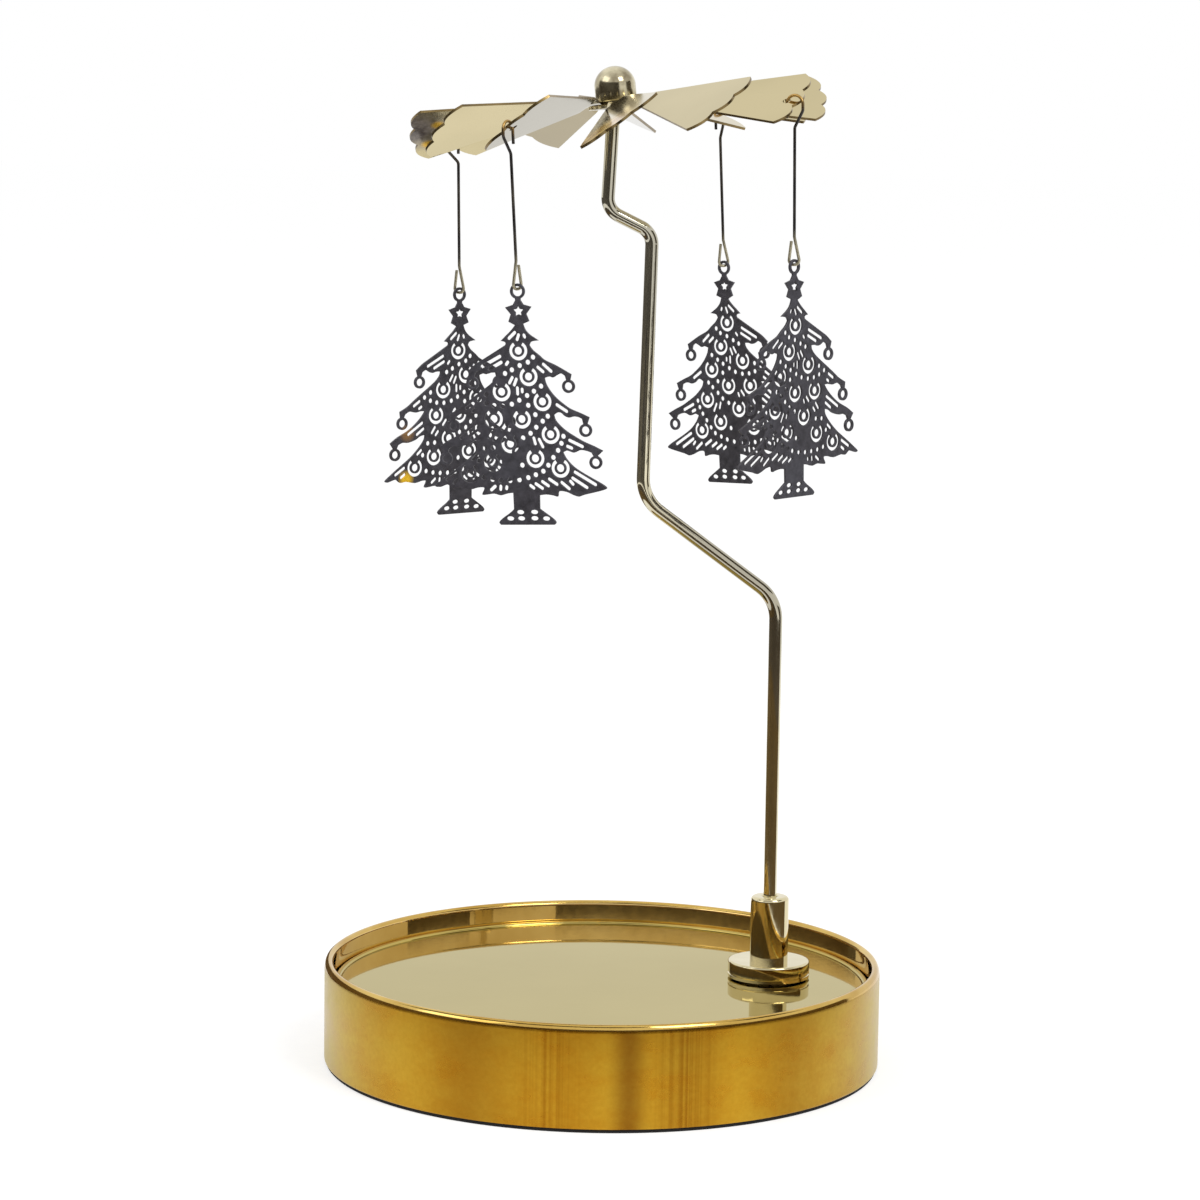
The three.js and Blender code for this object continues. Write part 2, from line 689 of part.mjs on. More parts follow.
const arm = new THREE.Group();
arm.rotation.z = footAzimuth;
const foot = new THREE.Group();
foot.position.set(footReach, 0, floorTop);
foot.add(mesh('foot_cup', footCup(), paleBrass));
foot.add(mesh('foot_magnet', disc(magnetDiameter, 0, magnetThickness, footSides), steel));
foot.add(mesh('socket_tube', socketTube(), paleBrass));
arm.add(foot);
arm.add(mesh('bent_rod', bentRod(), brass));
holder.add(arm);

const rotor = new THREE.Group();
rotor.position.z = pivotHeight;
rotor.rotation.set(-frontRock, -sideRock, 0);
rotor.add(mesh('hub_cap', hubCap(), brass));
rotor.add(mesh('hub_washer', hubWasher(), brass));
rotor.add(mesh('fan_sheet', fanSheet(), paleBrass));
holder.add(rotor);
rotor.updateMatrixWorld();

pendants.forEach(({ blade, length, inset, lean, tree, loop }, i) => {
  const azimuth = blade * 2 * Math.PI / bladeCount;
  const loopLevel = -length - wireRadius;
  const web = new THREE.Vector3(hookReach, holeOffset * Math.cos(bladeTwist), 0);
  web.applyAxisAngle(new THREE.Vector3(0, 0, 1), azimuth);
  web.z = sheetLevel + holeOffset * Math.sin(bladeTwist) - bladeDrop(blade, hookReach);
  const pendant = new THREE.Group();
  pendant.position.copy(rotor.localToWorld(web));
  pendant.position.z -= hookDrop;
  pendant.rotation.y = -lean * degrees;
  pendant.add(mesh(`hanger_${i + 1}`, hanger(azimuth, loop * degrees, inset, loopLevel), darkWire));
  const plate = mesh(`tree_${i + 1}`, treePlate(), darkPlate);
  plate.position.set(...polar(-inset, azimuth), loopLevel);
  plate.rotation.z = tree * degrees;
  pendant.add(plate);
  holder.add(pendant);
});

export default holder;
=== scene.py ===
from math import asin, atan2, cos, degrees, hypot, pi, radians, sin, sqrt, tan

import bmesh
import bpy
from mathutils import Matrix, Vector
from mathutils.geometry import delaunay_2d_cdt


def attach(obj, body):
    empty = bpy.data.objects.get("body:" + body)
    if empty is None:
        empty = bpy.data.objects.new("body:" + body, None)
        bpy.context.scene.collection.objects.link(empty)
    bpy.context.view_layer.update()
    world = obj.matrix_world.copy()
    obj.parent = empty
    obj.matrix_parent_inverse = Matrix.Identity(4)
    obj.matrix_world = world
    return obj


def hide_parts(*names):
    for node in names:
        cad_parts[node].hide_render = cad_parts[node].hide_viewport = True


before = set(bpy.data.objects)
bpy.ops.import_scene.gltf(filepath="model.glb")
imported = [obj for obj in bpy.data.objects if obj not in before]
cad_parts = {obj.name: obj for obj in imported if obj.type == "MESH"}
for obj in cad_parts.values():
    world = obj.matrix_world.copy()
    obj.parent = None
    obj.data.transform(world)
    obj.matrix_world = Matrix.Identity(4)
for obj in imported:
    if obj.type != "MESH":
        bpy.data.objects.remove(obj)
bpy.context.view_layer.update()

MM = 0.001
UP = Vector((0, 0, 1))
TAU = 2 * pi
TINY = 1e-6


# Sizes in millimetres, as in the CAD model

# Tray: band, floor plate and pad
TRAY_RADIUS = 42.0
TRAY_HEIGHT = 15.7
TRAY_WALL = 1.35
TRAY_FIT = 0.15
TRAY_SIDES = 192
INNER_RADIUS = TRAY_RADIUS - TRAY_WALL
RIM_RISE = 1.2
# Share of the rim's rise that is polished, and how far outside the inner wall it starts
RIM_SHINE = 0.8
RIM_MARGIN = 0.05
BAND_ROUNDING = 0.3
# Width of the rings beside rounded edges that keep the faces next to them flat
NARROW = 0.05
FLOOR_TOP = 12.2
FLOOR_THICKNESS = 1.0
FLOOR_BEVEL = 0.15
BEAD_WIDTH = 1.1
BEAD_HEIGHT = 0.4
FLANGE_WIDTH = 3.6
FLANGE_THICKNESS = 0.9
PAD_THICKNESS = 1.0
PAD_PROUD = 0.5
PAD_RADIUS = 41.7
PAD_BEVEL = 0.1

# Foot: cup with a groove round it, and socket
FOOT_REACH = 25.7
FOOT_AZIMUTH = radians(9)
FOOT_SIDES = 96
MAGNET_PROUD = 0.2
FOOT_RADIUS = 6.2
FOOT_TOP = 2.8
FOOT_ROUNDING = 0.35
FOOT_BEVEL = 0.1
GROOVE_DEPTH = 0.12
GROOVE_LEVELS = (0.55, 0.63, 0.75, 0.83)
POCKET_RADIUS = 5.2
POCKET_TOP = 1.5
SPIGOT_RADIUS = 1.7
SPIGOT_FIT = 0.15
SOCKET_RADIUS = 2.9
SOCKET_TOP = 12.7
SOCKET_FLOOR = 4.1
SOCKET_CHAMFER = 0.6
SOCKET_SIDES = 72
BORE_BEVEL = 0.2

# Rod: its corners are a reach from the rotor's axis and a height
ROD_RADIUS = 1.0
ROD_FIT = 0.15
ROD_SIDES = 32
ROD_ELBOW = 70.5
ROD_CORNERS = [(5.05, 85.8), (5.9, 125.4)]
ROD_NECK = (-0.9, 128.7)
ROD_BENDS = [6.2, 6.2, 2.9, 2.9]
ROD_BEND_STEPS = 16
PIVOT = 146.8
NEEDLE_LENGTH = 2.4
NEEDLE_RADIUS = 0.1
NEEDLE_TAPER = [
    (NEEDLE_LENGTH * 0.5, 0.57), (NEEDLE_LENGTH - 0.1, 0.14), (NEEDLE_LENGTH, NEEDLE_RADIUS * 0.6),
]

# Rotor: hub, washer and sheet, with heights from the pivot
ROCK_SIDE = radians(6.2)
ROCK_FRONT = radians(2.2)
HUB_SIDES = 72
CAP_RADIUS = 3.05
CAP_RISE = 3.0
CAP_DROP = 2.2
# The cap's lower edge: steps in from its radius and up from its underside
CAP_ROUNDING = [(0.3, 0), (0.08, 0.1), (0, 0.3)]
DOME = 2.9
DOME_STEPS = 20
BORE_RADIUS = 2.1
SEAT_TOP = 0.15
SEAT_DEPTH = 1.7
STEM_RADIUS = 2.6
STEM_LENGTH = 1.0
STEM_FIT = 0.15
WASHER_RADIUS = 4.2
WASHER_THICKNESS = 0.6
WASHER_ROUNDING = 0.12
SHEET = 0.4
SHEET_LEVEL = -CAP_DROP - SHEET / 2
DISC_RADIUS = 6.0
DISC_STEPS = 6
BLADES = 12
BLADE_COLUMNS = 30
NECK_ROWS = 12
BLADE_ROWS = 6
TWIST = radians(30)
TWIST_END = 9.0
DROOP = radians(5.5)
# Blades that are bent further than the rest
STRAY = {9: radians(2.9), 3: radians(-2.5)}
# Blades painted a greyer tone for their reflection, and one painted darker for shade
GREY_REFLECTION_BLADES = (3, 8)
SHADE_PAINTED_BLADE = 4
NECK_HALF = 0.95
BLADE_ROOT = sqrt(DISC_RADIUS ** 2 - NECK_HALF ** 2)
BLADE_HALF = 6.55
CORNER_REACH = 28.6
NOTCH_REACH = 29.8
LOBES = 3
LOBE_BULGE = 1.0
HOLE_REACH = 28.5
HOLE_OFFSET = -1.0
HOLE_RADIUS = 0.65
HOLE_SIDES = 24
PUNCH_HALF = 1

# Wires
WIRE_RADIUS = 0.22
WIRE_SIDES = 14
WIRE_BEND_STEPS = 10
HOOK_BEND = 1.3
HOOK_DROP = 0.3
HOOK_TAIL = 2.0
KINK_TOP = 0.9
KINK_BOTTOM = 3.3
KINK_BEND = 0.8
LOOP_HALF = 0.85
LOOP_HEIGHT = 4.0
LOOP_TAIL = 3.4
LOOP_BEND = 0.65

# Trees
PLATE = 0.4
PLATE_EDGE = 0.05
EYE_RADIUS = 0.72
EYE_BAND = 0.38
EYE_LEVEL = WIRE_RADIUS + 0.2 - EYE_RADIUS

# Each pendant's blade, its wire's length and inset, and in degrees its lean and how its tree and loop face
PENDANTS = [
    (11, 22.7, 0.0, 1.0, 225, -12),
    (8, 22.2, 0.5, 3.4, -17, 223),
    (5, 22.7, 1.3, 1.0, 36, -24),
    (2, 22.7, 0.0, 2.7, 141, 19),
]


# Materials

WHITE = (1, 1, 1, 1)


def linear(r, g, b):
    """A colour written as it looks on screen, 0 to 255, as the shader's linear colour."""
    def one(c):
        c = c / 255
        return c / 12.92 if c <= 0.04045 else ((c + 0.055) / 1.055) ** 2.4
    return (one(r), one(g), one(b), 1)


def larger(tree, first, second):
    """The larger of two values in a node tree."""
    node = tree.nodes.new("ShaderNodeMath")
    node.operation = "MAXIMUM"
    tree.links.new(first, node.inputs[0])
    tree.links.new(second, node.inputs[1])
    return node.outputs[0]


class Nodes:
    """Short calls for building one material's nodes."""

    # The share of a mark's reach that it covers in full
    CORE = 0.4

    def __init__(self, name):
        self.material = bpy.data.materials.new(name)
        self.material.use_nodes = True
        self.tree = self.material.node_tree
        self.shader = self.tree.nodes["Principled BSDF"]
        self.place = self.tree.nodes.new("ShaderNodeTexCoord").outputs["Object"]

    def new(self, kind, inputs=None, **settings):
        """A node with the given settings and values of its inputs."""
        node = self.tree.nodes.new("ShaderNode" + kind)
        for key, value in settings.items():
            setattr(node, key, value)
        for key, value in (inputs or {}).items():
            node.inputs[key].default_value = value
        return node

    def link(self, out, into):
        self.tree.links.new(out, into)

    def noise(self, scale, detail, stretch=None, roughness=0.5):
        node = self.new("TexNoise", {"Scale": scale, "Detail": detail, "Roughness": roughness})
        where = self.place
        if stretch:
            mapping = self.new("Mapping", {"Scale": stretch})
            self.link(where, mapping.inputs["Vector"])
            where = mapping.outputs["Vector"]
        self.link(where, node.inputs["Vector"])
        return node.outputs["Fac"]

    def angle(self):
        """The angle round Z, in radians, from the front."""
        split = self.new("SeparateXYZ")
        self.link(self.place, split.inputs[0])
        back = self.new("Math", {1: -1}, operation="MULTIPLY")
        self.link(split.outputs["Y"], back.inputs[0])
        node = self.new("Math", operation="ARCTAN2")
        self.link(split.outputs["X"], node.inputs[0])
        self.link(back.outputs[0], node.inputs[1])
        return node.outputs[0]

    def round_noise(self, angle, scale, detail):
        """Noise that changes only with the angle, for painted upright reflection streaks."""
        node = self.new("TexNoise", {"Scale": scale, "Detail": detail}, noise_dimensions="1D")
        self.link(angle, node.inputs["W"])
        return node.outputs["Fac"]

    def streak(self, angle, middle, half, depth=1.0):
        """The given depth at an angle in degrees, falling softly to 0 half a streak's width away."""
        node = self.new("Math", {1: radians(middle)}, operation="SUBTRACT")
        self.link(angle, node.inputs[0])
        away = self.new("Math", operation="ABSOLUTE")
        self.link(node.outputs[0], away.inputs[0])
        fade = self.spread(away.outputs[0], depth, 0, 0, radians(half))
        fade.node.interpolation_type = "SMOOTHSTEP"
        return fade

    def ramp(self, fac, *stops):
        node = self.new("ValToRGB")
        ramp = node.color_ramp
        while len(ramp.elements) < len(stops):
            ramp.elements.new(0.5)
        for element, (at, colour) in zip(ramp.elements, stops):
            element.position = at
            element.color = colour
        self.link(fac, node.inputs["Fac"])
        return node.outputs["Color"]

    def spread(self, fac, low, high, from_low=0.3, from_high=0.7):
        limits = {"From Min": from_low, "From Max": from_high, "To Min": low, "To Max": high}
        node = self.new("MapRange", limits)
        self.link(fac, node.inputs["Value"])
        return node.outputs["Result"]

    def mix(self, fac, first, second, blend="MIX"):
        node = self.new("Mix", data_type="RGBA", blend_type=blend)
        if isinstance(fac, float):
            node.inputs["Factor"].default_value = fac
        else:
            self.link(fac, node.inputs["Factor"])
        self.link(first, node.inputs[6])
        if isinstance(second, tuple):
            node.inputs[7].default_value = second
        else:
            self.link(second, node.inputs[7])
        return node.outputs[2]

    def near(self, point, reach):
        """1 about a point in millimetres, falling to 0 at the given reach."""
        away = self.new("VectorMath", {1: [c * MM for c in point]}, operation="DISTANCE")
        self.link(self.place, away.inputs[0])
        return self.spread(away.outputs["Value"], 1, 0, reach * MM * self.CORE, reach * MM)

    def bump(self, fac, distance, strength):
        node = self.new("Bump", {"Strength": strength, "Distance": distance * MM})
        self.link(fac, node.inputs["Height"])
        self.link(node.outputs["Normal"], self.shader.inputs["Normal"])

    def finish(self, colour, roughness, metallic=1.0):
        self.link(colour, self.shader.inputs["Base Color"])
        self.link(roughness, self.shader.inputs["Roughness"])
        self.shader.inputs["Metallic"].default_value = metallic
        return self.material


# Painted reflections on the band, upright darker streaks and patches of fine upright lines: degrees from
# the front, half width, depth
PAINTED_REFLECTION_STREAKS = [
    (-27, 16, 0.6), (5.5, 5, 0.95), (17, 9, 0.35), (41, 14, 0.45), (128, 18, 0.6), (-150, 22, 0.6),
]
PAINTED_LINE_PATCHES = [(-10, 8, 0.6), (17, 9, 0.6), (150, 12, 0.5)]
# The band's two sides with a painted paler sheen: their places and half width, in degrees
PAINTED_SHEEN_SIDES = (-90, 90)
PAINTED_SHEEN_HALF = 62


def band_brass():
    """Satin brass with painted reflections: soft upright streaks, a paler sheen at the two sides and
    patches of fine upright lines, with a grain that runs round the band.
    """
    n = Nodes("band_brass")
    angle = n.angle()
    # Painted reflection streaks: a colour that changes only round the band
    shade = n.round_noise(angle, 3, 1.0)
    colour = n.ramp(shade, (0.3, linear(195, 147, 40)), (0.7, linear(207, 163, 49)))
    # Painted darker reflection streaks at given angles
    for middle, half, depth in PAINTED_REFLECTION_STREAKS:
        colour = n.mix(n.streak(angle, middle, half, depth), colour, linear(152, 107, 30))
    # Painted paler sheen at the band's two sides
    for middle in PAINTED_SHEEN_SIDES:
        colour = n.mix(n.streak(angle, middle, PAINTED_SHEEN_HALF), colour, linear(188, 168, 70))
    # Painted fine upright reflection lines, shown in patches
    lines = n.ramp(n.round_noise(angle, 60, 2.0), (0.36, linear(206, 182, 150)), (0.58, WHITE))
    lined = n.mix(1.0, colour, lines, "MULTIPLY")
    for middle, half, depth in PAINTED_LINE_PATCHES:
        colour = n.mix(n.streak(angle, middle, half, depth), colour, lined)
    cloud = n.noise(110, 5.0, stretch=(1, 1, 1.6), roughness=0.65)
    haze = n.ramp(cloud, (0.34, linear(236, 216, 184)), (0.6, WHITE))
    colour = n.mix(0.85, colour, haze, "MULTIPLY")
    speckle = n.noise(1500, 3.0, roughness=0.6)
    fine = n.ramp(speckle, (0.3, linear(238, 232, 220)), (0.7, WHITE))
    colour = n.mix(0.6, colour, fine, "MULTIPLY")
    grain = n.noise(500, 4.0, stretch=(0.35, 0.35, 9), roughness=0.6)
    n.bump(grain, 0.01, 0.2)
    return n.finish(colour, n.spread(cloud, 0.24, 0.36))


def polished_brass(name, dark, light, low, high, scale=90, greyer_stretches=()):
    """Polished brass with soft cloudy shade and faint scratches."""
    n = Nodes(name)
    cloud = n.noise(scale, 4.0, roughness=0.55)
    colour = n.ramp(cloud, (0.32, linear(*dark)), (0.68, linear(*light)))
    for point, reach, tone in greyer_stretches:
        colour = n.mix(n.near(point, reach), colour, linear(*tone))
    scratches = n.noise(700, 3.0, stretch=(1, 6, 1))
    n.bump(scratches, 0.004, 0.2)
    return n.finish(colour, n.spread(scratches, low, high))


# Painted marks on the rotor's sheet, a dark end of painted dark reflection, a painted gold reflection on
# the front blade's end, and painted gold glints: places and reaches in millimetres
PAINTED_DARK_END = ((-30, -2.2, 140.2), 6.5)
PAINTED_GOLD_END = ((-2.4, -28.5, 140.4), 8)
GLINTS = [((-25.9, -2.4, 140.8), 1.2), ((-27.5, 1.6, 137.9), 1.2)]
# How metallic the two ends with painted dark reflection and painted gold reflection are
PAINTED_ENDS_METALLIC = 0.25


def blade_brass(name, dark, light):
    """Thin polished sheet; the far left blade's end has a painted dark brown reflection with two painted
    gold glints, and the front one's end has a painted dull gold reflection.
    """
    n = Nodes(name)
    cloud = n.noise(40, 3.0)
    colour = n.ramp(cloud, (0.3, linear(*dark)), (0.7, linear(*light)))
    spots = n.noise(420, 5.0, roughness=0.7)
    painted_dark_end, painted_gold_end = n.near(*PAINTED_DARK_END), n.near(*PAINTED_GOLD_END)
    # Painted dark reflection on the far left blade's end
    brown = n.ramp(spots, (0.38, linear(104, 95, 90)), (0.64, linear(164, 154, 145)))
    colour = n.mix(painted_dark_end, colour, brown)
    # Painted gold reflection on the front blade's end
    gold = n.ramp(spots, (0.38, linear(182, 134, 56)), (0.62, linear(250, 212, 120)))
    colour = n.mix(painted_gold_end, colour, gold)
    # Painted gold glints
    for glint in GLINTS:
        colour = n.mix(n.near(*glint), colour, linear(240, 190, 62))
    n.bump(n.noise(150, 2.0), 0.02, 0.12)
    # The ends with painted colour are made less metallic, so that the painted colour shows
    dull = larger(n.tree, painted_dark_end, painted_gold_end)
    material = n.finish(colour, n.spread(spots, 0.06, 0.12))
    n.link(n.spread(dull, 1.0, PAINTED_ENDS_METALLIC, 0, 1), n.shader.inputs["Metallic"])
    return material


def tree_plate(name, tree_glints):
    """Dark colour painted for the reflection of dark surroundings, with a fine speckle, and painted gold
    glints at given places.
    """
    n = Nodes(name)
    speckle = n.noise(900, 5.0, roughness=0.65)
    cloud = n.noise(120, 3.0)
    # Painted dark reflection: the plate's dark colour stands for the dark surroundings it mirrors
    colour = n.ramp(speckle, (0.3, linear(60, 59, 65)), (0.7, linear(88, 87, 95)))
    shade = n.ramp(cloud, (0.35, linear(216, 206, 204)), (0.65, WHITE))
    colour = n.mix(0.6, colour, shade, "MULTIPLY")
    # Painted gold glints
    for point, reach, tone in tree_glints:
        colour = n.mix(n.near(point, reach), colour, linear(*tone))
    n.bump(speckle, 0.015, 0.3)
    return n.finish(colour, n.spread(speckle, 0.42, 0.6), 0.35)


# Reach of the painted gold glint at a wire's hook and of the painted pale glint at its loop, in
# millimetres
HOOK_GLINT = 2.6
LOOP_GLINT = 4.2
# Height of the loop's painted pale glint above its lowest point
LOOP_GLINT_RISE = 1


def wire_metal(name, hook, loop):
    """Dark drawn wire with a painted gold glint at its hook and a painted pale glint at its loop."""
    n = Nodes(name)
    patch = n.noise(260, 3.0)
    colour = n.ramp(patch, (0.4, linear(62, 60, 60)), (0.7, linear(104, 98, 88)))
    # Painted glints at the hook and the loop
    colour = n.mix(n.near(hook, HOOK_GLINT), colour, linear(176, 142, 82))
    colour = n.mix(n.near(loop, LOOP_GLINT), colour, linear(190, 182, 156))
    return n.finish(colour, n.spread(patch, 0.28, 0.4))


def pad_foam():
    """Black foam with fine cells."""
    n = Nodes("pad_foam")
    cells = n.noise(1600, 4.0)
    colour = n.ramp(cells, (0.3, linear(16, 16, 17)), (0.7, linear(38, 37, 38)))
    n.bump(cells, 0.05, 0.5)
    return n.finish(colour, n.spread(cells, 0.85, 1.0), 0.0)


def magnet_plating():
    """Grey plating of the magnet under the foot."""
    n = Nodes("magnet_plating")
    cloud = n.noise(300, 3.0)
    colour = n.ramp(cloud, (0.3, linear(150, 148, 142)), (0.7, linear(190, 188, 182)))
    return n.finish(colour, n.spread(cloud, 0.2, 0.34))


# Greyer, paler stretches of the rod, in colour only: a place and a reach in millimetres, and a colour
ROD_GREYER_STRETCHES = [((16.5, 2.6, 71), 20, (180, 174, 156)), ((3, 0.5, 124), 24, (188, 183, 166))]
# The mirror floor's colour where it is seen at a low angle
MIRROR_EDGE = (0.88, 0.905, 0.872, 1)

BAND = band_brass()
RIM = polished_brass("rim_brass", (188, 150, 70), (220, 188, 108), 0.08, 0.14)
INSIDE = polished_brass("inside_brass", (212, 176, 108), (234, 202, 138), 0.03, 0.06)
MIRROR = polished_brass("mirror_brass", (184, 162, 88), (191, 169, 96), 0.02, 0.05, 30)
MIRROR.node_tree.nodes["Principled BSDF"].inputs["Specular Tint"].default_value = MIRROR_EDGE
FOOT = polished_brass("foot_brass", (212, 200, 160), (230, 220, 186), 0.03, 0.07)
ROD = polished_brass("rod_brass", (204, 195, 164), (226, 218, 192), 0.05, 0.09, greyer_stretches=ROD_GREYER_STRETCHES)
HUB = polished_brass("hub_brass", (140, 129, 104), (218, 209, 178), 0.12, 0.2, 420)
BLADE = blade_brass("blade_brass", (190, 177, 136), (205, 191, 149))
# Copies of the blade brass with painted grey reflection and painted shade
BLADE_GREY_REFLECTION = blade_brass("blade_grey_reflection", (152, 146, 128), (160, 154, 136))
BLADE_PAINTED_SHADE = blade_brass("blade_painted_shade", (150, 137, 106), (162, 149, 116))
# Darker brass on the sheet's cut edges: painted shade along the edges
BLADE_EDGE_SHADE = polished_brass("blade_edge_shade", (96, 82, 56), (150, 128, 84), 0.2, 0.35)
PAD = pad_foam()
MAGNET = magnet_plating()


# Building pieces

# Share of an edge that a rounding may take, and of a wire's radius that its ends are bevelled by
ROUNDING_SHARE = 0.4
END_BEVEL = 0.25


def spin(angle, axis="Z"):
    """A turn about an axis, in radians."""
    return Matrix.Rotation(angle, 4, axis)


def added(name, data):
    """A new object in the scene."""
    obj = bpy.data.objects.new(name, data)
    bpy.context.scene.collection.objects.link(obj)
    return obj


def placed_mesh(name, shape, place):
    """A mesh of points in millimetres, set in their place, and faces."""
    points, faces = shape
    mesh = bpy.data.meshes.new(name)
    mesh.from_pydata([(place @ Vector(p)) * MM for p in points], [], faces)
    return mesh


def piece(name, shape, place, material, body, node, sharp=40):
    """A smooth-shaded piece from points and faces, standing for a CAD node."""
    mesh = placed_mesh(name, shape, place)
    mesh.validate()
    return settle(name, mesh, material, body, node, sharp)


def settle(name, mesh, material, body, node, sharp):
    """A mesh as a piece of its body; edges sharper than the given degrees stay crisp."""
    mesh.polygons.foreach_set("use_smooth", [True] * len(mesh.polygons))
    mesh.set_sharp_from_angle(angle=radians(sharp))
    obj = added(name, mesh)
    mesh.materials.append(material)
    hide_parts(node)
    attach(obj, body)
    return obj


def arc(centre, radius, start, stop, steps):
    """Points on an arc, both ends included; angles in degrees."""
    angles = [radians(start + (stop - start) * i / steps) for i in range(steps + 1)]
    return [(centre[0] + radius * cos(a), centre[1] + radius * sin(a)) for a in angles]


def turned(profile, sides, closed):
    """Points and faces of a body of revolution; an open profile starts and ends on the axis."""
    points, rings, faces = [], [], []
    angles = [TAU * i / sides for i in range(sides)]
    for r, z in profile:
        if r < TINY:
            points.append((0, 0, z))
            rings.append([len(points) - 1])
        else:
            start = len(points)
            points += [(r * cos(a), r * sin(a), z) for a in angles]
            rings.append(list(range(start, start + sides)))
    pairs = list(zip(rings, rings[1:]))
    if closed:
        pairs.append((rings[-1], rings[0]))
    for low, high in pairs:
        for i in range(sides):
            k = (i + 1) % sides
            if len(low) == 1:
                faces.append((low[0], high[k], high[i]))
            elif len(high) == 1:
                faces.append((low[i], low[k], high[0]))
            else:
                faces.append((low[i], low[k], high[k], high[i]))
    return points, faces


def rounded(profile, radius, steps=3):
    """A closed profile with each corner rounded off by a small radius."""
    out = []
    count = len(profile)
    for i, corner in enumerate(profile):
        before, after = Vector(profile[i - 1]), Vector(profile[(i + 1) % count])
        corner = Vector(corner)
        back, onward = before - corner, after - corner
        reach = min(radius, back.length * ROUNDING_SHARE, onward.length * ROUNDING_SHARE)
        a, b = corner + back.normalized() * reach, corner + onward.normalized() * reach
        for k in range(steps + 1):
            t = k / steps
            out.append(tuple(a * (1 - t) ** 2 + corner * 2 * t * (1 - t) + b * t ** 2))
    return out


def bent_path(corners, bends, steps):
    """Points along a wire that turns at each corner on the given bend radius."""
    path = [corners[0]]
    for before, corner, after, radius in zip(corners, corners[1:], corners[2:], bends):
        back, onward = (before - corner).normalized(), (after - corner).normalized()
        half = back.angle(onward) / 2
        centre = corner + (back + onward).normalized() * (radius / sin(half))
        start = corner + back * (radius / tan(half)) - centre
        axis = onward.cross(back).normalized()
        for i in range(steps + 1):
            turn = Matrix.Rotation((pi - 2 * half) * i / steps, 3, axis)
            path.append(turn @ start + centre)
    path.append(corners[-1])
    return path


def swept(path, radius, sides, taper=()):
    """A closed tube along a path; taper adds (distance past the end, radius) rings to close it."""
    tangents = []
    for i in range(len(path)):
        ahead = path[min(i + 1, len(path) - 1)] - path[i]
        behind = path[i] - path[max(i - 1, 0)]
        tangents.append((ahead.normalized() + behind.normalized()).normalized())
    normal = tangents[0].orthogonal().normalized()
    points, faces, rings = [], [], []

    def ring(centre, tangent, size):
        side = tangent.cross(normal)
        start = len(points)
        for i in range(sides):
            a = TAU * i / sides
            points.append(centre + (normal * cos(a) + side * sin(a)) * size)
        rings.append(range(start, start + sides))

    edge = radius * END_BEVEL
    ring(path[0], tangents[0], radius - edge)
    ring(path[0] + tangents[0] * edge, tangents[0], radius)
    for i in range(1, len(path)):
        turn = tangents[i - 1].rotation_difference(tangents[i])
        normal = turn @ normal
        if i < len(path) - 1 or taper:
            ring(path[i], tangents[i], radius)
    end, way = path[-1], tangents[-1]
    if not taper:
        ring(end - way * edge, way, radius)
        ring(end, way, radius - edge)
    for reach, size in taper:
        ring(end + way * reach, way, size)
    for low, high in zip(rings, rings[1:]):
        for i in range(sides):
            k = (i + 1) % sides
            faces.append((low[i], low[k], high[k], high[i]))
    faces.append(tuple(reversed(rings[0])))
    faces.append(tuple(rings[-1]))
    return points, faces


# Tray

UPRIGHT = Matrix.Identity(4)


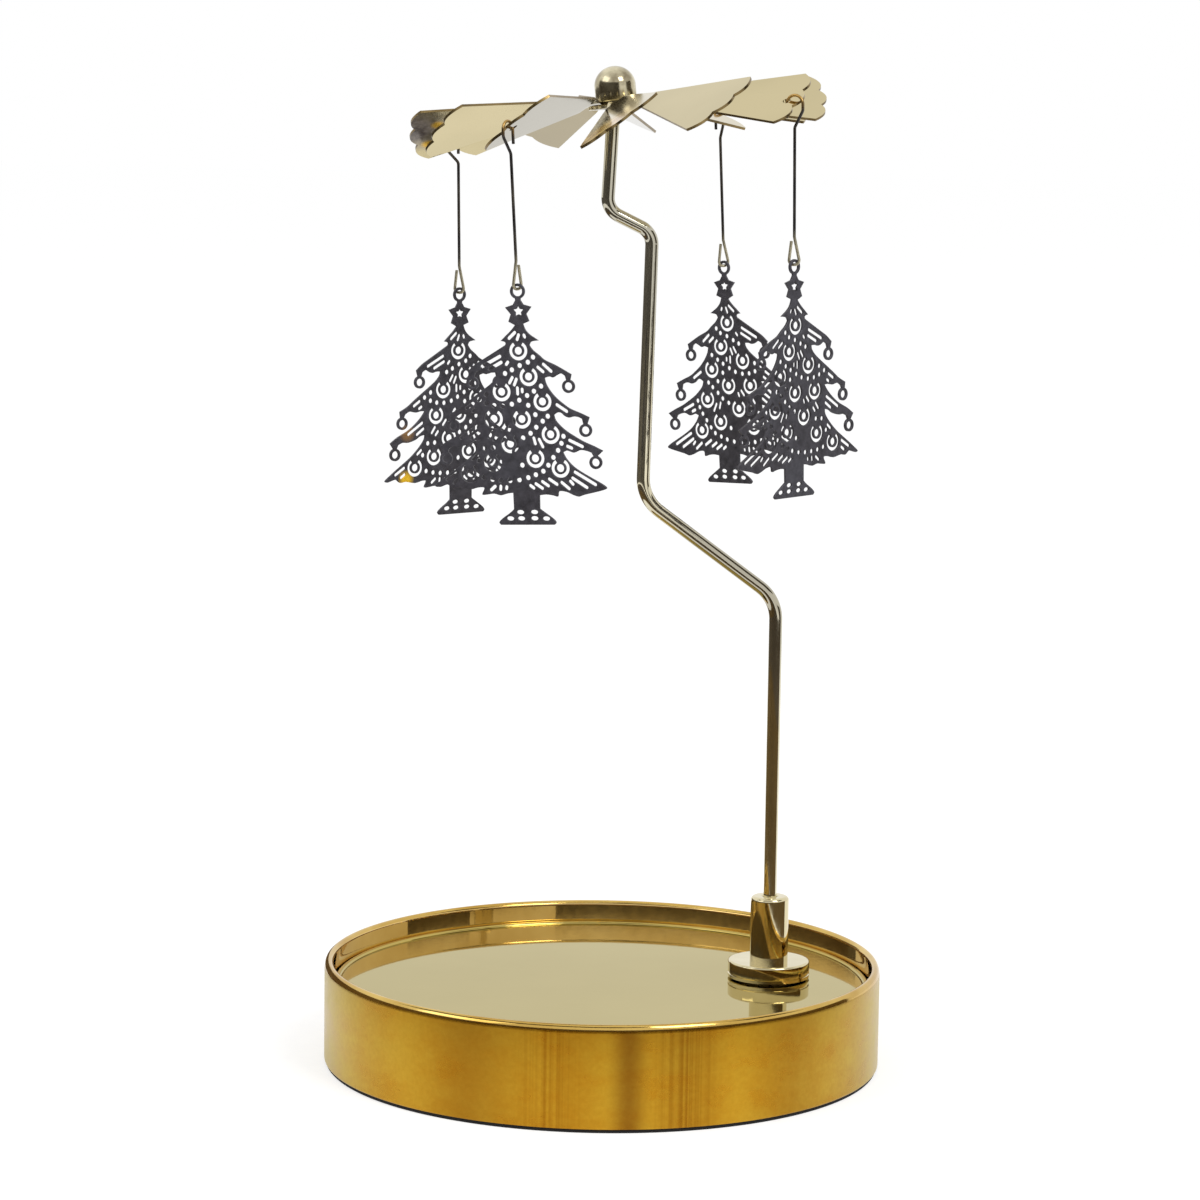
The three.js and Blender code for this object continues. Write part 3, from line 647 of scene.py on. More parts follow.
def tray():
    """The band with its rolled rim, the floor plate with its bead, and the pad underneath."""
    rim = TRAY_WALL / 2
    ledge = FLOOR_TOP - FLOOR_THICKNESS
    flange = INNER_RADIUS - FLANGE_WIDTH
    rise = RIM_RISE / rim
    low = PAD_PROUD + BAND_ROUNDING
    outer = arc((TRAY_RADIUS - BAND_ROUNDING, low), BAND_ROUNDING, -90, 0, 5)
    outer += [(TRAY_RADIUS, low + NARROW), (TRAY_RADIUS, TRAY_HEIGHT - RIM_RISE - NARROW)]
    quarter = arc((TRAY_RADIUS - rim, 0), rim, 0, 90, 12)
    lip = [(r, TRAY_HEIGHT - RIM_RISE + h * rise) for r, h in quarter]
    lip += arc((TRAY_RADIUS - rim, TRAY_HEIGHT - rim), rim, 90, 180, 8)[1:]
    inner = [(INNER_RADIUS, TRAY_HEIGHT - rim - NARROW)]
    for top, under in (
        (ledge, ledge - FLANGE_THICKNESS),
        (PAD_THICKNESS + FLANGE_THICKNESS, PAD_THICKNESS),
    ):
        inner += [(INNER_RADIUS, top), (flange, top), (flange, under), (INNER_RADIUS, under)]
    inner.append((INNER_RADIUS, PAD_PROUD))
    shape = turned(outer + lip + inner, TRAY_SIDES, True)
    band = piece("tray_band", shape, UPRIGHT, BAND, "base", "tray_ring")
    band.data.materials.append(RIM)
    band.data.materials.append(INSIDE)
    for face in band.data.polygons:
        middle = face.center / MM
        radius = hypot(middle.x, middle.y)
        if middle.z > TRAY_HEIGHT - RIM_RISE * RIM_SHINE and radius > INNER_RADIUS + RIM_MARGIN:
            face.material_index = 1
        elif radius < TRAY_RADIUS - rim:
            face.material_index = 2

    radius = INNER_RADIUS - TRAY_FIT
    plate = [(0, ledge), (radius - FLOOR_BEVEL, ledge), (radius, ledge + FLOOR_BEVEL)]
    plate.append((radius, FLOOR_TOP - NARROW))
    for r, h in arc((0, 0), BEAD_WIDTH / 2, 0, 180, 12):
        plate.append((radius - BEAD_WIDTH / 2 + r, FLOOR_TOP + h * BEAD_HEIGHT * 2 / BEAD_WIDTH))
    plate += [(radius - BEAD_WIDTH - NARROW, FLOOR_TOP), (0, FLOOR_TOP)]
    shape = turned(plate, TRAY_SIDES, False)
    piece("floor_plate", shape, UPRIGHT, MIRROR, "base", "mirror_floor", sharp=50)

    pad = [
        (0, 0), (PAD_RADIUS - PAD_BEVEL, 0), (PAD_RADIUS, PAD_BEVEL),
        (PAD_RADIUS, PAD_PROUD - PAD_BEVEL / 2), (PAD_RADIUS - PAD_BEVEL / 2, PAD_PROUD),
        (radius, PAD_PROUD), (radius, PAD_THICKNESS), (0, PAD_THICKNESS),
    ]
    piece("under_pad", turned(pad, TRAY_SIDES, False), UPRIGHT, PAD, "base", "base_pad")


# Foot and rod

ARM = spin(FOOT_AZIMUTH)
STAND = ARM @ Matrix.Translation((FOOT_REACH, 0, FLOOR_TOP))


def foot():
    """The cup, the socket for the rod, and the magnet, which keeps its CAD shape."""
    hole = SPIGOT_RADIUS + SPIGOT_FIT
    groove = FOOT_RADIUS - GROOVE_DEPTH
    cup = [(POCKET_RADIUS, MAGNET_PROUD), (groove, MAGNET_PROUD)]
    cup.append((FOOT_RADIUS, MAGNET_PROUD + FOOT_BEVEL))
    for r, h in zip((FOOT_RADIUS, groove, groove, FOOT_RADIUS), GROOVE_LEVELS):
        cup.append((r, MAGNET_PROUD + h))
    shoulder = FOOT_RADIUS - FOOT_ROUNDING
    cup += arc((shoulder, FOOT_TOP - FOOT_ROUNDING), FOOT_ROUNDING, 0, 90, 6)
    cup += [(shoulder - NARROW, FOOT_TOP), (hole, FOOT_TOP)]
    cup += [(hole, POCKET_TOP), (POCKET_RADIUS, POCKET_TOP)]
    shape = turned(cup, FOOT_SIDES, True)
    piece("foot_body", shape, STAND, FOOT, "foot", "foot_cup", sharp=35)

    bore = ROD_RADIUS + ROD_FIT
    low = POCKET_TOP + SPIGOT_FIT
    tube = [(0, low), (SPIGOT_RADIUS, low), (SPIGOT_RADIUS, FOOT_TOP), (SOCKET_RADIUS, FOOT_TOP)]
    tube.append((SOCKET_RADIUS, SOCKET_TOP - SOCKET_CHAMFER - NARROW))
    tube += arc((SOCKET_RADIUS - SOCKET_CHAMFER, SOCKET_TOP - SOCKET_CHAMFER), SOCKET_CHAMFER, 0, 90, 6)
    tube += [(bore + BORE_BEVEL, SOCKET_TOP), (bore, SOCKET_TOP - BORE_BEVEL)]
    tube += [(bore, SOCKET_FLOOR), (0, SOCKET_FLOOR)]
    shape = turned(tube, SOCKET_SIDES, False)
    piece("foot_socket", shape, STAND, FOOT, "foot", "socket_tube", sharp=35)

    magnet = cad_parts["foot_magnet"]
    magnet.data.materials.clear()
    magnet.data.materials.append(MAGNET)


def rod():
    """The bent rod, from the socket's floor to its needle point."""
    def at(reach, height):
        return Vector((reach, 0, height))

    neck, point = at(*ROD_NECK), at(0, PIVOT)
    way = (point - neck).normalized()
    corners = [at(FOOT_REACH, FLOOR_TOP + SOCKET_FLOOR), at(FOOT_REACH, ROD_ELBOW)]
    corners += [at(*corner) for corner in ROD_CORNERS]
    corners += [neck, point - way * NEEDLE_LENGTH]
    path = bent_path(corners, ROD_BENDS, ROD_BEND_STEPS)
    shape = swept(path, ROD_RADIUS, ROD_SIDES, NEEDLE_TAPER)
    piece("rod", shape, ARM, ROD, "rod", "bent_rod")


# Rotor

ROCKED = (
    Matrix.Translation((0, 0, PIVOT))
    @ spin(-ROCK_FRONT, "X")
    @ spin(-ROCK_SIDE, "Y")
)


def hub():
    """The cap, with its seat for the rod's point, and the washer under the sheet."""
    shoulder = CAP_RISE - DOME
    low = -CAP_DROP - STEM_LENGTH
    cap = [(0, SEAT_TOP), (BORE_RADIUS, SEAT_TOP - SEAT_DEPTH), (BORE_RADIUS, low)]
    cap += [(STEM_RADIUS, low), (STEM_RADIUS, -CAP_DROP)]
    cap += [(CAP_RADIUS - inward, -CAP_DROP + up) for inward, up in CAP_ROUNDING]
    for i in range(DOME_STEPS):
        a = TAU / 4 * i / DOME_STEPS
        cap.append((CAP_RADIUS * cos(a), shoulder + DOME * sin(a)))
    cap.append((0, CAP_RISE))
    piece("hub", turned(cap, HUB_SIDES, False), ROCKED, HUB, "rotor", "hub_cap", sharp=35)

    inner, top = STEM_RADIUS + STEM_FIT, low + WASHER_THICKNESS
    ring = [(inner, low), (WASHER_RADIUS, low), (WASHER_RADIUS, top), (inner, top)]
    shape = turned(rounded(ring, WASHER_ROUNDING), HUB_SIDES, True)
    piece("washer", shape, ROCKED, HUB, "rotor", "hub_washer", sharp=35)


def blade_end(across):
    """Reach of the scalloped end at a place across the blade, from -1 to 1."""
    lobe = min(int((across + 1) / 2 * LOBES), LOBES - 1)
    t = (across + 1) / 2 * LOBES - lobe
    first = CORNER_REACH if lobe == 0 else NOTCH_REACH
    last = CORNER_REACH if lobe == LOBES - 1 else NOTCH_REACH
    return first * (1 - t) + last * t + LOBE_BULGE * 4 * t * (1 - t)


def blade_drop(blade, reach):
    """How far a blade has bent down at a reach from the axis."""
    neck = TWIST_END - BLADE_ROOT
    past = reach - BLADE_ROOT
    eased = past * past / neck / 2 if past < neck else past - neck / 2
    return eased * tan(DROOP + STRAY.get(blade, 0))


def hole_at(blade, reach):
    """The place of a blade's hook hole, or of its line further out, before the blade is turned."""
    side, rise = HOLE_OFFSET * cos(TWIST), HOLE_OFFSET * sin(TWIST)
    return Vector((reach, side, SHEET_LEVEL + rise - blade_drop(blade, reach)))


def blade_rows(mesh, blade):
    """One blade's points, row by row from the disc to its scalloped end."""
    turn = spin(TAU * blade / BLADES)
    neck = TWIST_END - BLADE_ROOT
    widening = (BLADE_HALF - NECK_HALF) / (CORNER_REACH - BLADE_ROOT)
    rows = []
    for row in range(NECK_ROWS + BLADE_ROWS + 1):
        line = []
        for i in range(BLADE_COLUMNS + 1):
            u = -1 + 2 * i / BLADE_COLUMNS
            if row <= NECK_ROWS:
                reach = BLADE_ROOT + neck * (row / NECK_ROWS)
            else:
                reach = TWIST_END + (blade_end(u) - TWIST_END) * (row - NECK_ROWS) / BLADE_ROWS
            half = NECK_HALF + widening * (min(reach, CORNER_REACH) - BLADE_ROOT)
            t = min(max((reach - BLADE_ROOT) / neck, 0), 1)
            twist = TWIST * t * t * (3 - 2 * t)
            side, rise = u * half * cos(twist), u * half * sin(twist)
            height = SHEET_LEVEL + rise - blade_drop(blade, reach)
            line.append(mesh.verts.new(turn @ Vector((reach, side, height))))
        rows.append(line)
    return rows


def sheet_surface():
    """The sheet's middle surface: its blades, and the disc with a hole for the stem."""
    mesh = bmesh.new()
    outline = []
    for blade in range(BLADES):
        rows = blade_rows(mesh, blade)
        for low, high in zip(rows, rows[1:]):
            for i in range(BLADE_COLUMNS):
                mesh.faces.new((low[i], high[i], high[i + 1], low[i + 1]))
        outline += rows[0]
        span = TAU / BLADES - 2 * asin(NECK_HALF / DISC_RADIUS)
        first = TAU * blade / BLADES + asin(NECK_HALF / DISC_RADIUS)
        for i in range(1, DISC_STEPS):
            a = first + span * i / DISC_STEPS
            place = (DISC_RADIUS * cos(a), DISC_RADIUS * sin(a), SHEET_LEVEL)
            outline.append(mesh.verts.new(place))
    hole = STEM_RADIUS + STEM_FIT
    inner = []
    for vert in outline:
        a = atan2(vert.co.y, vert.co.x)
        inner.append(mesh.verts.new((hole * cos(a), hole * sin(a), SHEET_LEVEL)))
    for i in range(len(outline)):
        mesh.faces.new((inner[i - 1], outline[i - 1], outline[i], inner[i]))
    mesh.normal_update()
    mesh.transform(ROCKED)
    mesh.transform(Matrix.Scale(MM, 4))
    data = bpy.data.meshes.new("rotor_blades")
    mesh.to_mesh(data)
    mesh.free()
    return data


def rotor_sheet():
    """The sheet, thickened and punched by modifiers, and given painted reflection tones blade by blade:
    two blades painted greyer and one painted darker.
    """
    data = sheet_surface()
    data.materials.append(BLADE)
    data.materials.append(BLADE_EDGE_SHADE)
    sheet = added("sheet_blank", data)
    thick = sheet.modifiers.new("thickness", "SOLIDIFY")
    thick.thickness = SHEET * MM
    thick.offset = 0
    thick.material_offset_rim = 1
    punches = [punch(blade) for blade, *_ in PENDANTS]
    for cutter in punches:
        cut = sheet.modifiers.new("hole", "BOOLEAN")
        cut.operation = "DIFFERENCE"
        cut.solver = "EXACT"
        cut.object = cutter
    graph = bpy.context.evaluated_depsgraph_get()
    result = bpy.data.meshes.new_from_object(sheet.evaluated_get(graph))
    for spare in punches + [sheet]:
        bpy.data.objects.remove(spare)
    result.name = "rotor_blades"
    rim = [face.material_index == 1 for face in result.polygons]
    level = ROCKED.inverted()
    result.materials.clear()
    settle("rotor_blades", result, BLADE, "rotor", "fan_sheet", sharp=40)
    for material in (BLADE_EDGE_SHADE, BLADE_GREY_REFLECTION, BLADE_PAINTED_SHADE):
        result.materials.append(material)
    for face, edge in zip(result.polygons, rim):
        place = level @ (face.center / MM)
        blade = round(atan2(place.y, place.x) / TAU * BLADES) % BLADES
        on_disc = hypot(place.x, place.y) < DISC_RADIUS
        # Painted shade on the sheet's cut edges
        if edge:
            face.material_index = 1
        # Painted grey reflection on two blades and painted shade on one
        elif blade in GREY_REFLECTION_BLADES and not on_disc:
            face.material_index = 2
        elif blade == SHADE_PAINTED_BLADE and not on_disc:
            face.material_index = 3


def punch(blade):
    """A short round cutter through one blade's hook hole."""
    profile = [(0, -PUNCH_HALF), (HOLE_RADIUS, -PUNCH_HALF), (HOLE_RADIUS, PUNCH_HALF), (0, PUNCH_HALF)]
    place = (
        ROCKED
        @ spin(TAU * blade / BLADES)
        @ Matrix.Translation(hole_at(blade, HOLE_REACH))
        @ spin(DROOP, "Y")
        @ spin(TWIST, "X")
    )
    return added("punch", placed_mesh("punch", turned(profile, HOLE_SIDES, False), place))


# Pendants

def hanger(outward, across, inset, level):
    """A wire with its hook, the kink under it and its open loop; the hook bends about the origin."""
    out = Vector((cos(outward), sin(outward), 0))
    side = Vector((cos(across), sin(across), 0))

    def hook(reach, height):
        return out * reach + UP * height

    def run(reach, height):
        return hook(-inset, height) + side * reach

    corners = [
        hook(-HOOK_BEND, -HOOK_TAIL), hook(-HOOK_BEND, HOOK_BEND), hook(HOOK_BEND, HOOK_BEND),
        hook(HOOK_BEND, -KINK_TOP), run(0, -KINK_BOTTOM), run(0, level + LOOP_HEIGHT),
        run(LOOP_HALF, level), run(-LOOP_HALF, level), run(-LOOP_HALF / 2, level + LOOP_TAIL),
    ]
    bends = [HOOK_BEND, HOOK_BEND, KINK_BEND, KINK_BEND, KINK_BEND, LOOP_BEND, LOOP_BEND]
    return swept(bent_path(corners, bends, WIRE_BEND_STEPS), WIRE_RADIUS, WIRE_SIDES)


# The tree's drawing, with its eye's centre at 0, 0. Each side's edge runs down from the star with X
# reckoned outward: a tier runs out over its bough, round the ring that hangs there, and back under it.
NECK = (0.38, -1.25)
STAR_LEVEL = -2.85
STAR_EDGE = [(0.78, -1.9), (1.95, -2.25), (1.15, -3.25), (1.55, -4.28)]
RIGHT_TIERS = [
    ([(1.9, -8.4), (2.75, -9.1), (3.6, -9.85), (5.05, -10.55), (6.2, -11.2), (7.45, -11.95)],
     (6.95, -13.65),
     [(6.5, -12.15), (5.95, -11.8), (5.3, -12.05), (4.75, -12.35), (4.2, -12.2), (3.45, -12.4)]),
    ([(3.65, -13.25), (4.25, -14.3), (5.1, -15.3), (6.1, -16.15), (7.1, -16.85), (8.6, -17.5),
      (9.85, -18.1)],
     (9.2, -19.95),
     [(8.75, -18.3), (8.25, -18.05), (7.6, -17.95), (6.85, -18.1), (6.2, -17.85), (5.7, -17.4),
      (5.15, -17.35), (4.6, -17.7)]),
    ([(4.8, -18.4), (5.4, -19.15), (6.35, -20), (7.65, -20.85), (8.85, -21.55), (10.3, -22.2),
      (11.65, -22.9)],
     (10.5, -24.55),
     [(9.95, -23.15), (9.3, -22.9), (8.35, -22.75), (7.4, -23.1), (6.7, -22.9), (6.25, -22.8),
      (5.7, -23.05)]),
]
LEFT_TIERS = [
    ([(3.6, -8.4), (5.45, -9.45), (6.85, -10.25), (7.95, -11.15)],
     (7.4, -12.95),
     [(6.9, -11.45), (6.25, -11.15), (5.6, -11.5), (5.05, -11.65), (4.45, -11.5), (3.6, -11.5)]),
    ([(3.75, -12.1), (4.45, -12.9), (5.6, -13.75), (7, -14.7), (8.5, -15.75), (9.6, -16.55),
      (11, -17.25)],
     (10.6, -19.05),
     [(10.1, -17.7), (9.3, -17.3), (8.2, -17.5), (7.3, -17.35), (6.5, -17.4)]),
    ([(7.3, -18.4), (8.55, -19.5), (9.8, -20.3), (11.5, -21.1), (12.8, -21.95)],
     (11.95, -23.7),
     [(11.4, -22.25), (10.6, -21.95), (9.65, -22), (8.3, -21.65), (7.45, -21.15), (6.55, -20.95)]),
]
SIDES = [
    {
        "crown": [(0.6, -4.65), (0.93, -5.5), (1.5, -6.15), (2.2, -6.65), (2.8, -7.05)],
        "below": [(2.2, -7.1), (1.65, -7.25), (1.4, -7.7)],
        "tiers": RIGHT_TIERS,
        "skirt": [(6.2, -24), (7.2, -25.1), (8.5, -26), (10.05, -26.9), (11.35, -27.65), (12, -28.2),
            (11.5, -28.5), (10, -28.85), (8.6, -29.15), (7.8, -29.4), (6.95, -29.15), (5.95, -28.7),
            (4.85, -28.6), (4.65, -29.35), (4, -29.2), (2.95, -29.05), (1.9, -29.15)],
        "pot": [(1.85, -31.1), (2.8, -31.8), (3.75, -32.5), (4.2, -33.05), (3.95, -33.4)],
    },
    {
        "crown": [(0.6, -4.8), (1.3, -5.6), (2.2, -6.4), (2.85, -7)],
        "below": [(2.35, -7.1), (2.12, -7.3), (2.2, -7.6)],
        "tiers": LEFT_TIERS,
        "skirt": [(6.65, -21.6), (7.2, -22.4), (8.1, -23.35), (9.2, -24.3), (10.5, -25.2), (11.7, -26),
            (12.9, -26.85), (13.8, -27.55), (13.4, -27.8), (12.3, -27.5), (11.8, -27.5), (11.1, -28),
            (10.1, -27.9), (8.5, -28.2), (7.3, -27.95), (6.35, -28), (6.75, -28.95), (5.8, -28.95),
            (4.9, -28.85), (3.9, -29.1), (2.9, -28.85), (2.05, -28.75)],
        "pot": [(2.05, -31.1), (2.7, -31.65), (3.75, -32.35), (4.35, -32.95), (4.1, -33.35)],
    },
]
BAUBLES = [
    (-0.3, -8.45), (1.05, -12.15), (-3.1, -14.25), (2.95, -15.75), (-0.25, -18.2), (-4.45, -18.1),
    (3.95, -20.45), (-2.15, -21.7), (1.5, -23.85), (-4.9, -24.35), (5.2, -25.3), (-8.4, -25.85),
]
DOTS = [
    (1.85, -9.4), (1.05, -10.1), (-0.2, -10.55), (-1.4, -11.15), (-2.45, -11.65),
    (2.85, -13.55), (1.75, -14.25), (0.7, -14.85), (-0.5, -15.5), (-1.65, -16.05), (-3.0, -16.3),
    (-4.3, -16.2), (-5.45, -15.85), (-6.5, -15.3), (-5.4, -14.6),
    (3.65, -17.85), (2.85, -18.55), (1.85, -19.4), (0.95, -20.25), (-0.2, -20.9), (1.8, -17.6),
    (0.8, -16.25),
    (5.85, -20.75), (5.5, -21.75), (4.95, -22.75), (4.2, -23.75), (3.4, -24.85), (2.6, -25.7),
    (1.45, -26.2), (0.3, -26.6), (-1.05, -26.9), (-2.45, -27.0), (-3.8, -26.95), (-5.1, -26.8),
    (-6.35, -26.5),
    (-0.5, -24.8), (-6.0, -22.3), (-4.75, -22.25), (-6.95, -24.05),
]
SLITS = [
    (-1.6, -6.65, -0.7, -5.85), (-0.4, -6.85, -0.15, -6.2), (0.65, -6.25, 0.75, -6.5),
    (-5.85, -10.6, -3.1, -9.2), (-4.7, -10.95, -2.95, -10.05), (-2.2, -10.35, -1.95, -10.05),
    (3.35, -10.45, 4.45, -11.45), (2.5, -10.85, 3.25, -11.5),
    (-1.85, -13, -1.4, -12.25), (-1.15, -13.3, -0.8, -12.5),
    (-0.7, -13.75, -0.7, -14.6), (0.0, -13.95, 0.0, -14.3),
    (5.1, -16.25, 6.5, -17.2), (-8.45, -16.5, -7.45, -15.85), (-7.5, -16.95, -7.1, -16.7),
    (1.4, -20.95, 1.6, -21.75), (2.2, -21.15, 2.7, -22.2),
    (6.75, -21.35, 8.6, -22.25), (6.4, -22.2, 7.0, -22.45),
    (-9.5, -20.75, -7.0, -19.15), (-7.95, -20.85, -6.8, -20.05),
    (-5.25, -20.75, -4.7, -19.95), (-4.55, -21.1, -4.15, -20.6), (-3.2, -19.6, -2.7, -18.95),
    (-2.25, -19.75, -2.1, -19.35),
    (7.35, -25.9, 10.3, -27.7), (6.95, -26.75, 9.0, -28.1),
    (6.6, -27.2, 6.95, -27.6), (5.3, -27.35, 6.35, -28.25),
    (3.45, -26.85, 4.55, -27.6), (2.4, -27.2, 3.25, -27.8),
    (1.4, -27.5, 2.35, -28.15), (0.6, -27.75, 1.05, -28.1),
    (-5.35, -28.3, -4.75, -27.8), (-3.9, -27.8, -3.95, -28.25), (-3.0, -27.9, -3.05, -28.15),
    (-7.9, -23.85, -7.25, -23.3), (-11.9, -26.75, -10.35, -25.8), (-10.9, -27.2, -10.3, -26.8),
]
# Places on a tree, by its pendant's number, with a painted gold glint: across, height, reach, colour
TREE_GLINTS = {3: [(-10.1, -27.5, 1.5, (255, 206, 40)), (-9.8, -20.6, 1.5, (150, 114, 72))]}
POT_HOLES = [(-1.1, -31.55), (1.0, -31.55), (-2.65, -32.45), (-1.0, -32.45), (1.0, -32.45), (2.75, -32.5)]
POT_HOLE_HALF = (0.55, 0.32)
# Reach of the points and hollows of the star's hole
STAR_TIPS = (0.78, 0.42)
RING_RADIUS = 0.95
RING_HOLE = 0.57
BAUBLE_RADIUS = 1.38
BAUBLE_BAND = 0.88
BAUBLE_HOLE = 0.57
DOT_RADIUS = 0.37
HALF_SLIT = 0.25


def soft_curve(points, steps):
    """Points of a soft curve through the given points."""
    out = [points[0]]
    for i in range(len(points) - 1):
        a, b = Vector(points[max(i - 1, 0)]), Vector(points[i])
        c, d = Vector(points[i + 1]), Vector(points[min(i + 2, len(points) - 1)])
        for k in range(1, steps + 1):
            t = k / steps
            cubic = 3 * (b - c) + d - a
            out.append(tuple(b + 0.5 * t * (c - a + t * (2 * a - 5 * b + 4 * c - d + t * cubic))))
    return out


def tree_edge(side):
    """One side's edge of the tree, from the top of its eye down to the foot of its pot."""
    edge = arc((0, 0), EYE_RADIUS + EYE_BAND, 90, -68, 18) + [NECK] + STAR_EDGE
    edge += soft_curve(side["crown"], 4)
    edge += soft_curve(side["crown"][-1:] + side["below"], 4)[1:]
    for over, ring, under in side["tiers"]:
        edge += soft_curve(edge[-1:] + over, 4)[1:]
        edge += arc(ring, RING_RADIUS, 72, -252, 28)
        edge += soft_curve(under, 4)
    edge += soft_curve(edge[-1:] + side["skirt"], 3)[1:]
    edge += soft_curve(side["pot"], 4)
    return edge


def oval(x, z, half_width, half_height, steps=18):
    """An oval cut-out's points."""
    ring = arc((0, 0), 1, 0, 360 * (steps - 1) / steps, steps - 1)
    return [(x + u * half_width, z + v * half_height) for u, v in ring]


def slit(x0, z0, x1, z1):
    """A narrow cut with round ends."""
    slant = degrees(atan2(z1 - z0, x1 - x0))
    end = arc((x1, z1), HALF_SLIT, slant - 90, slant + 90, 6)
    return end + arc((x0, z0), HALF_SLIT, slant + 90, slant + 270, 6)


def tree_loops():
    """The tree's outline and all its cut-outs."""
    right, left = (tree_edge(side) for side in SIDES)
    loops = [right + [(-x, z) for x, z in reversed(left[1:])]]
    loops.append(oval(0, 0, EYE_RADIUS, EYE_RADIUS, steps=24))
    tips = [(STAR_TIPS[i % 2], TAU / 4 + TAU * i / 10) for i in range(10)]
    loops.append([(r * cos(a), STAR_LEVEL + r * sin(a)) for r, a in tips])
    for side, sign in zip(SIDES, (1, -1)):
        loops += [oval(sign * x, z, RING_HOLE, RING_HOLE) for _, (x, z), _ in side["tiers"]]
    for x, z in BAUBLES:
        loops.append(arc((x, z), BAUBLE_RADIUS, 120, 420, 24) + arc((x, z), BAUBLE_BAND, 420, 120, 20))
        loops.append(oval(x, z, BAUBLE_HOLE, BAUBLE_HOLE))
    loops += [oval(x, z, DOT_RADIUS, DOT_RADIUS, steps=14) for x, z in DOTS]
    loops += [slit(*cut) for cut in SLITS]
    loops += [oval(x, z, *POT_HOLE_HALF, steps=16) for x, z in POT_HOLES]
    return loops


def drawn_in(loop, depth):
    """A loop's points moved a little to the right of its run, which is the plate's side of it."""
    out = []
    for i, point in enumerate(loop):
        way = (Vector(loop[(i + 1) % len(loop)]) - Vector(loop[i - 1])).normalized()
        out.append(Vector((point[0] + way.y * depth, point[1] - way.x * depth)))
    return out


def tree_mesh():
    """The cut-out plate with softened edges, flat in XY, with its eye at the origin."""
    loops = tree_loops()
    half = PLATE / 2
    levels = [(PLATE_EDGE, half), (0, half - PLATE_EDGE), (0, PLATE_EDGE - half), (PLATE_EDGE, -half)]
    face, runs, areas = [], [], []
    for loop in loops:
        start = len(face)
        face += drawn_in(loop, PLATE_EDGE)
        areas.append(range(start, len(face)))
        runs += [(start + i, start + (i + 1) % len(loop)) for i in range(len(loop))]
    areas[0] = areas[0][::-1]
    filled = delaunay_2d_cdt(face, [], areas, 1, TINY, True)
    corners, sources = filled[0], filled[3]
    triangles = [triangle for triangle, within in zip(filled[2], filled[5]) if list(within) == [0]]

    mesh = bmesh.new()
    rings = []
    for depth, level in levels:
        ring = []
        for loop in loops:
            ring += [mesh.verts.new((x, z, level)) for x, z in drawn_in(loop, depth)]
        rings.append(ring)
    for side in (0, 3):
        level = levels[side][1]
        verts = []
        for corner, source in zip(corners, sources):
            verts.append(rings[side][source[0]] if source else mesh.verts.new((corner.x, corner.y, level)))
        for triangle in triangles:
            mesh.faces.new([verts[i] for i in triangle])
    for low, high in zip(rings, rings[1:]):
        for i, k in runs:
            mesh.faces.new((low[i], low[k], high[k], high[i]))
    bmesh.ops.recalc_face_normals(mesh, faces=mesh.faces)
    plate = bpy.data.meshes.new("tree_plate")
    mesh.to_mesh(plate)
    mesh.free()
    return plate


def pendants():
    """The four wires, each hung on its blade, and the trees on their loops."""
    blank = tree_mesh()
    for i, (blade, length, inset, lean, tree_way, loop_way) in enumerate(PENDANTS, 1):
        azimuth = TAU * blade / BLADES
        web = spin(azimuth) @ hole_at(blade, HOLE_REACH + HOOK_BEND)
        hung = ROCKED @ web - UP * HOOK_DROP
        place = Matrix.Translation(hung) @ spin(-radians(lean), "Y")
        level = -length - WIRE_RADIUS
        shape = hanger(azimuth, radians(loop_way), inset, level)
        load = Vector((cos(azimuth), sin(azimuth), 0)) * -inset
        # Places of the wire's painted glints
        hook = place @ (UP * HOOK_BEND)
        loop = place @ (load + UP * (level + LOOP_GLINT_RISE))
        metal = wire_metal(f"wire_metal_{i}", hook, loop)
        piece(f"wire_{i}", shape, place, metal, f"hanger_{i}", f"hanger_{i}")
        stand = (
            place
            @ Matrix.Translation(load + UP * level)
            @ spin(radians(tree_way))
            @ Matrix.Translation((0, 0, EYE_LEVEL))
            @ spin(TAU / 4, "X")
        )
        mesh = blank.copy()
        mesh.transform(Matrix.Scale(MM, 4) @ stand)
        # Painted gold glints and painted dark reflection for each tree
        tree_glints = [(stand @ Vector((x, z, 0)), reach, tone) for x, z, reach, tone in TREE_GLINTS.get(i, [])]
        plating = tree_plate(f"painted_dark_reflection_{i}", tree_glints)
        settle(f"pendant_{i}", mesh, plating, f"tree_{i}", f"tree_{i}", sharp=35)
    bpy.data.meshes.remove(blank)


# Studio

# Strength of the light from all round, and of the paper's lift to white
WORLD_LIGHT = 0.75
FLOOR_LIFT = 0.62
FLOOR_HALF = 4
# Cards: radius, lower and upper edge in metres, two angles in degrees right of the camera, and colour.
# The far row is for the rod and the tray's wall, and the near one, higher up, is for the hub.
FAR_ROW = (0.42, 0, 0.1151)
NEAR_ROW = (0.15, 0.124, 0.205)
CARDS = [
    ("flag_left", *FAR_ROW, -150, -8, (112, 108, 102)),
    ("flag_front", *FAR_ROW, -8, 22, (104, 100, 94)),
    ("flag_right", *FAR_ROW, 64, 100, (98, 90, 76)),
    ("flag_left", *NEAR_ROW, -100, -8, (112, 108, 102)),
    ("flag_front", *NEAR_ROW, -8, 22, (104, 100, 94)),
    ("flag_right", *NEAR_ROW, 64, 100, (98, 90, 76)),
    ("flag_low", 0.15, 0, 0.05, -150, 100, (104, 94, 82)),
    ("flag_near", 0.11, 0, 0.037, -150, 100, (122, 102, 68)),
]
CARD_STEPS = 24
CARD_WEAVE = 4
